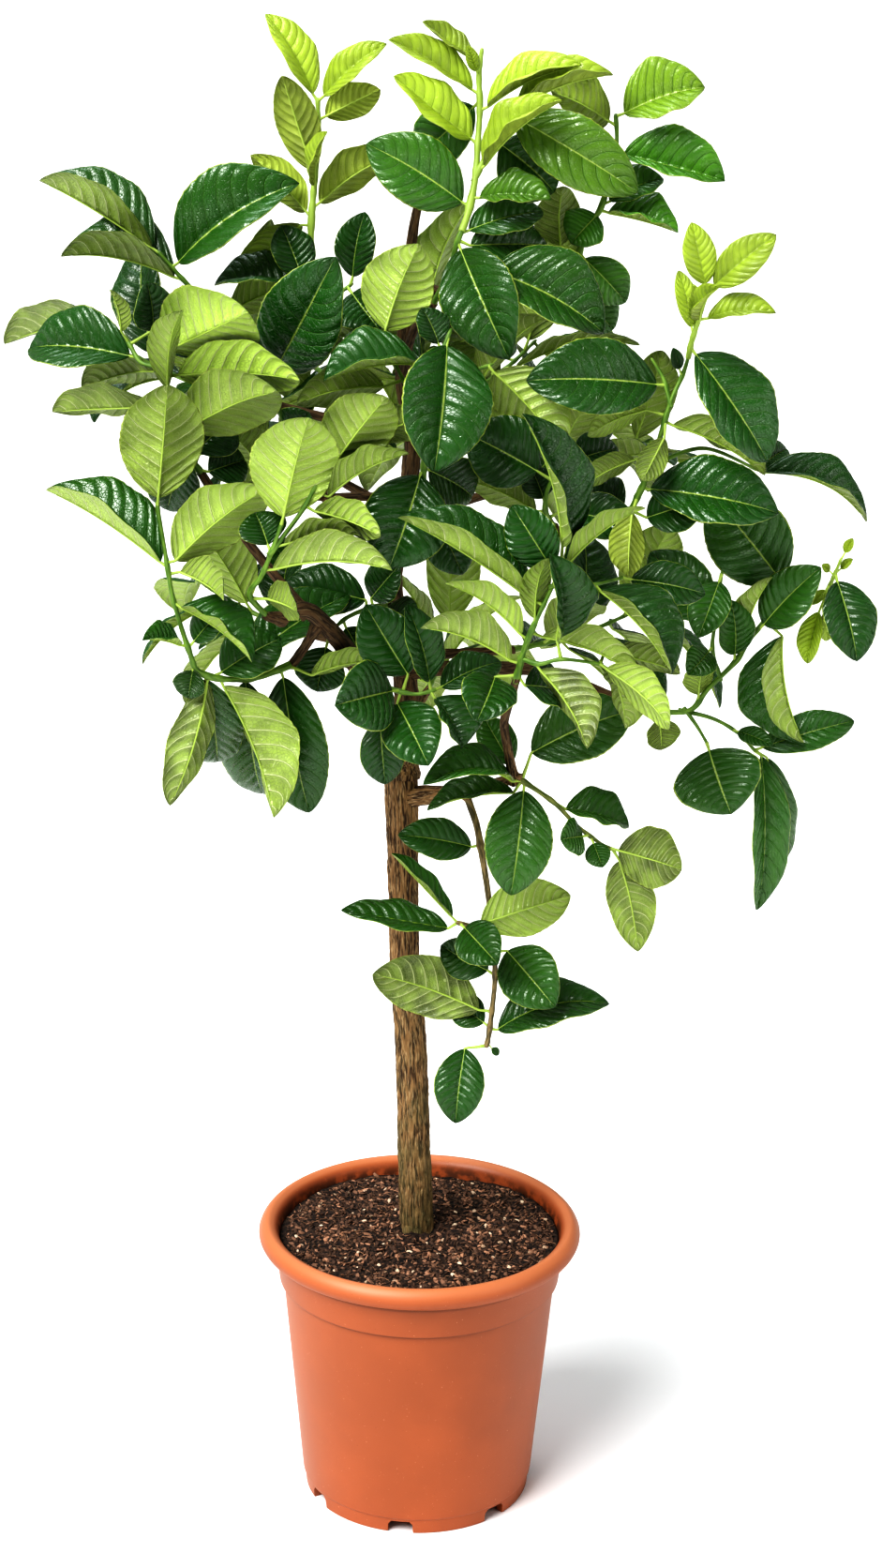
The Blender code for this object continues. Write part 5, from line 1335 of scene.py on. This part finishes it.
class BarkSettings(bpy.types.PropertyGroup):
    """Wood of the trunk and limbs."""

    sides: IntProperty(name="Sides", description="Steps round the trunk", default=104, min=12)
    step: FloatProperty(name="Step", description="Length of each ring of the trunk", unit="LENGTH",
                        default=0.0011)
    furrow: FloatProperty(name="Furrows", description="Depth of the bark's furrows", unit="LENGTH",
                          default=0.0011)
    seed: IntProperty(name="Seed", description="Seed of the way the furrows wander", default=5, min=1)


class LeafSettings(bpy.types.PropertyGroup):
    """Leaves of every shoot."""

    upper: colour_setting("Upper side", "Glossy upper side", 0.011, 0.070, 0.006)
    # The under side's colour is partly the blade's own pale yellow-green, partly painted light shining
    # through the thin blade
    under: colour_setting("Under side", "Matte under side", 0.330, 0.450, 0.085)
    young_upper: colour_setting("Young upper side", "Soft young growth", 0.37, 0.50, 0.045)
    young_under: colour_setting("Young under side", "Soft young growth", 0.41, 0.51, 0.085)
    veins: IntProperty(name="Side veins", description="Pairs of side veins in a blade", default=9, min=3)
    quilt: FloatProperty(name="Quilting", description="Height of the bulges between the side veins",
                         unit="LENGTH", default=0.00095)
    seed: IntProperty(name="Seed", description="Seed of each leaf's own waves and tint", default=3)


class StageSettings(bpy.types.PropertyGroup):
    """Studio light and floor."""

    key_strength: FloatProperty(name="Key light", description="Strength of the large soft light on the left",
                                default=3.2)
    key_spread: FloatProperty(name="Key spread", description="How wide the key light is, seen from the tree",
                              unit="ROTATION", default=math.radians(38.0))
    fill_power: FloatProperty(name="Fill light", description="Power of the smaller soft light", unit="POWER",
                              default=8.0)
    top_power: FloatProperty(name="Top light", description="Power of the cool soft light above and behind",
                             unit="POWER", default=16.0)
    surround: FloatProperty(name="Surround", description="Brightness of the white surround", default=0.27)
    floor_width: FloatProperty(name="Floor", description="Width of the floor", unit="LENGTH", default=60.0)


# Pieces

class CITRON_OT_pot(bpy.types.Operator):
    """Turn the pot, cut the notches in its foot and the drain holes in its floor"""

    bl_idname = "citron.pot"
    bl_label = "Pot"

    def execute(self, context):
        """Make the pot."""
        settings = context.scene.citron_pot
        pot = outward(new_object("turned_pot", *turned(rounded(POT_PROFILE), settings.sides)))
        spacing = FULL_TURN / NOTCH_COUNT
        cutters = []
        for number in range(NOTCH_COUNT):
            cutters.append(notch_cutter(NOTCH_FIRST + number * spacing))
            cutters.append(drain_cutter(NOTCH_FIRST + (number + 0.5) * spacing))
        cut_away(pot, cutters)
        pot.data.materials.append(pot_material(tuple(settings.colour)))
        pot.data.shade_smooth()
        pot.data.set_sharp_from_angle(angle=SHARP_ANGLE)
        settle(pot, "terracotta_plastic", "pot")
        return {"FINISHED"}


class CITRON_OT_soil(bpy.types.Operator):
    """Fill the pot with potting mix and scatter bark chips, fibres and pale grains over it"""

    bl_idname = "citron.soil"
    bl_label = "Soil"

    def execute(self, context):
        """Make the soil and its crumbs."""
        settings = context.scene.citron_soil
        corners, faces, bed_faces = soil_shell(settings.relief)
        soil = new_object("potting_mix", corners, faces)
        soil.data.materials.append(soil_material())
        soil.data.shade_smooth()
        settle(soil, "potting_mix", "soil")
        for number, crumb in enumerate(CRUMBS):
            values = {"Density": getattr(settings, crumb.setting), "Spacing": crumb.spacing,
                      "Seed": settings.seed + number, "Roughening": crumb.roughening,
                      "Finish": crumb_material(crumb)}
            crumbs = run_tree(new_object(crumb.name, corners, bed_faces), scatter_tree(crumb), values)
            settle(crumbs, "potting_mix")
        return {"FINISHED"}


class CITRON_OT_wood(bpy.types.Operator):
    """Grow the trunk and its limbs with furrowed bark"""

    bl_idname = "citron.wood"
    bl_label = "Wood"

    def execute(self, context):
        """Make the wood."""
        settings = context.scene.citron_bark
        noise.seed_set(settings.seed)
        relief = bark_relief(settings.furrow)
        knob = seen(*KNOB)
        skin = Skin()

        def trunk_relief(centre, out, place, radius):
            """Furrows, and the healed stub at the trunk's head."""
            stub = KNOB_HEIGHT * math.exp(-((centre + out * radius - knob).length / KNOB_REACH) ** 2)
            return relief(centre, out, place, radius) + stub

        points = TRUNK_FEET + [seen(*point[:3]) for point in TRUNK]
        radii = [TRUNK_FOOT_RADIUS] * len(TRUNK_FEET) + [point[3] * MM for point in TRUNK]
        smooth, fine = smooth_route(points, radii, settings.step)
        skin.add(grown_tube(smooth, fine, settings.sides, trunk_relief), 0, (0.5, 0.0, 1.0))
        for wood in WOOD:
            points, radii = run_on(wood.points, wood.radii, WOOD_START, WOOD_END, wood.last)
            smooth, fine = smooth_route(points, radii, WOOD_STEP)
            away = np.array([(spot - points[0]).length for spot in smooth])
            fine = fine * (1.0 + WOOD_FLARE * np.exp(-(away / WOOD_FLARE_REACH) ** 2))
            skin.add(grown_tube(smooth, fine, wood.sides, relief), 0, (0.5, 0.0, 1.0))
        settle(skin.make("bark", [bark_material()]), "bark", "trunk_and_limbs")
        return {"FINISHED"}


class CITRON_OT_shoots(bpy.types.Operator):
    """Grow every leafy shoot: its stems, petioles and fine leaves"""

    bl_idname = "citron.shoots"
    bl_label = "Shoots"

    def execute(self, context):
        """Make one piece for each shoot."""
        settings = context.scene.citron_leaf
        draw = random.Random(settings.seed)
        veins = settings.veins
        finishes_of_shoots = [
            leaf_material("leaf_upper", tuple(settings.upper), (0.09, 0.23, 0.035), 0.25, veins,
                          (0.06, 0.10, 0.28), -0.6),
            leaf_material("leaf_under", tuple(settings.under), (0.80, 0.88, 0.46), 0.42, veins,
                          (0.26, 0.08, 0.80), 1.1),
            stem_material(),
            leaf_material("young_upper", tuple(settings.young_upper), (0.48, 0.68, 0.08), 0.40, veins,
                          (0.08, 0.10, 0.40), -0.5),
            leaf_material("young_under", tuple(settings.young_under), (0.60, 0.74, 0.14), 0.48, veins,
                          (0.15, 0.10, 0.55), 0.9)]
        for name, shoot in SHOOTS.items():
            skin = Skin()
            is_young = name.startswith("young_")
            for number, route in enumerate(shoot.routes):
                thick = shoot.radius * (SIDE_STEM_SHARE if number else 1.0)
                radii = [thick * (1.0 - taper) for taper in np.linspace(0.0, STEM_TAPER, len(route))]
                shape = stem_skin(route, radii, shoot.leaves, shoot.carried_on and number == 0)
                skin.add(shape, STEM, (0.5, 0.6 * is_young, STEM_BROWN.get(name, 0.0)))
            for number, placed in enumerate(shoot.leaves):
                youth = LEAF_YOUTH.get((name, number), float(is_young))
                shape, finishes, rib = fine_blade(placed, settings, draw)
                fresh = 0.0
                if youth == 1.0:
                    finishes = [YOUNG_UPPER if finish == UPPER else YOUNG_UNDER for finish in finishes]
                else:
                    fresh = FRESH.get(name, FRESH_REST) * draw.uniform(*FRESH_RANGE)
                tone = draw.random()
                # The first value is the leaf's tone: its own random one, unless listed, where it is partly
                # painted light and shade
                skin.add(shape, finishes, (LEAF_TONE_AND_LIGHT.get((name, number), tone), youth % 1.0, fresh))
                skin.add(leaf_rib(placed, rib), STEM, (0.5, max(youth, 0.75), 0.0))
            piece = skin.make(name, finishes_of_shoots)
            settle(piece, "young_leaf" if is_young else "leaf", name + "_shoot")
        return {"FINISHED"}


class CITRON_OT_stage(bpy.types.Operator):
    """Set the floor, the soft lights, the white surround and the camera"""

    bl_idname = "citron.stage"
    bl_label = "Stage"

    def execute(self, context):
        """Make the stage."""
        scene = context.scene
        settings = scene.citron_stage
        half = settings.floor_width / 2.0
        floor = new_object("floor", [(x * half, y * half, FLOOR_DROP) for x, y in FLOOR_CORNERS],
                           [[0, 1, 2, 3]])
        look = Look("pale_floor", 0.7)
        look.shader["Base Color"].default_value = (FLOOR_WHITE, FLOOR_WHITE, FLOOR_WHITE, 1.0)
        floor.data.materials.append(look.material)
        key = bpy.data.lights.new("key", "SUN")
        key.energy = settings.key_strength
        key.angle = settings.key_spread
        fill = bpy.data.lights.new("fill", "AREA")
        fill.energy = settings.fill_power
        fill.size = FILL_SIZE
        top = bpy.data.lights.new("top", "AREA")
        top.energy = settings.top_power
        top.size = TOP_SIZE
        top.color = TOP_COLOUR
        for lamp, place in ((key, KEY_PLACE), (fill, FILL_PLACE), (top, TOP_PLACE)):
            aim = (CROWN_MIDDLE - place).to_track_quat("-Z", "Y").to_matrix().to_4x4()
            link(lamp.name, lamp).matrix_world = Matrix.Translation(place) @ aim
        world = bpy.data.worlds.new("surround")
        world.use_nodes = True
        background = world.node_tree.nodes["Background"].inputs
        background["Color"].default_value = (1.0, 1.0, 1.0, 1.0)
        background["Strength"].default_value = settings.surround
        scene.world = world
        camera = bpy.data.cameras.new("camera")
        camera.sensor_fit = "VERTICAL"
        camera.sensor_height = SENSOR_HEIGHT
        camera.lens = EYE_FOCAL / PICTURE_HEIGHT * SENSOR_HEIGHT
        camera.clip_start = 0.05
        base = Matrix((Vector((1.0, 0.0, 0.0)), -BELOW, -AHEAD)).transposed()
        turn = (base @ Matrix.Rotation(-EYE_ROLL, 3, "Z")).to_4x4()
        scene.camera = link("camera", camera)
        scene.camera.matrix_world = Matrix.Translation(EYE) @ turn
        scene.view_settings.view_transform = "Standard"
        scene.view_settings.look = "Very High Contrast"
        return {"FINISHED"}


class CITRON_PT_sidebar(bpy.types.Panel):
    """Lists the tree's pieces and settings."""

    bl_idname = "CITRON_PT_sidebar"
    bl_label = "Citron tree"
    bl_space_type = "VIEW_3D"
    bl_region_type = "UI"
    bl_category = "Citron tree"

    def draw(self, context):
        """Draw the settings of each piece above its button."""
        for name, group, operator in PARTS:
            box = self.layout.box()
            settings = getattr(context.scene, name)
            for field in group.__annotations__:
                box.prop(settings, field)
            box.operator(operator.bl_idname)


PARTS = (("citron_pot", PotSettings, CITRON_OT_pot), ("citron_soil", SoilSettings, CITRON_OT_soil),
         ("citron_bark", BarkSettings, CITRON_OT_wood), ("citron_leaf", LeafSettings, CITRON_OT_shoots),
         ("citron_stage", StageSettings, CITRON_OT_stage))


def register():
    """Register the settings, the operators and the panel."""
    for name, group, operator in PARTS:
        bpy.utils.register_class(group)
        bpy.utils.register_class(operator)
        setattr(bpy.types.Scene, name, PointerProperty(type=group))
    bpy.utils.register_class(CITRON_PT_sidebar)


def unregister():
    """Take away all that register added."""
    bpy.utils.unregister_class(CITRON_PT_sidebar)
    for name, group, operator in reversed(PARTS):
        delattr(bpy.types.Scene, name)
        bpy.utils.unregister_class(operator)
        bpy.utils.unregister_class(group)


def main():
    """Make every piece."""
    register()
    bpy.ops.citron.pot()
    bpy.ops.citron.soil()
    bpy.ops.citron.wood()
    bpy.ops.citron.shoots()
    bpy.ops.citron.stage()


if __name__ == "__main__":
    main()
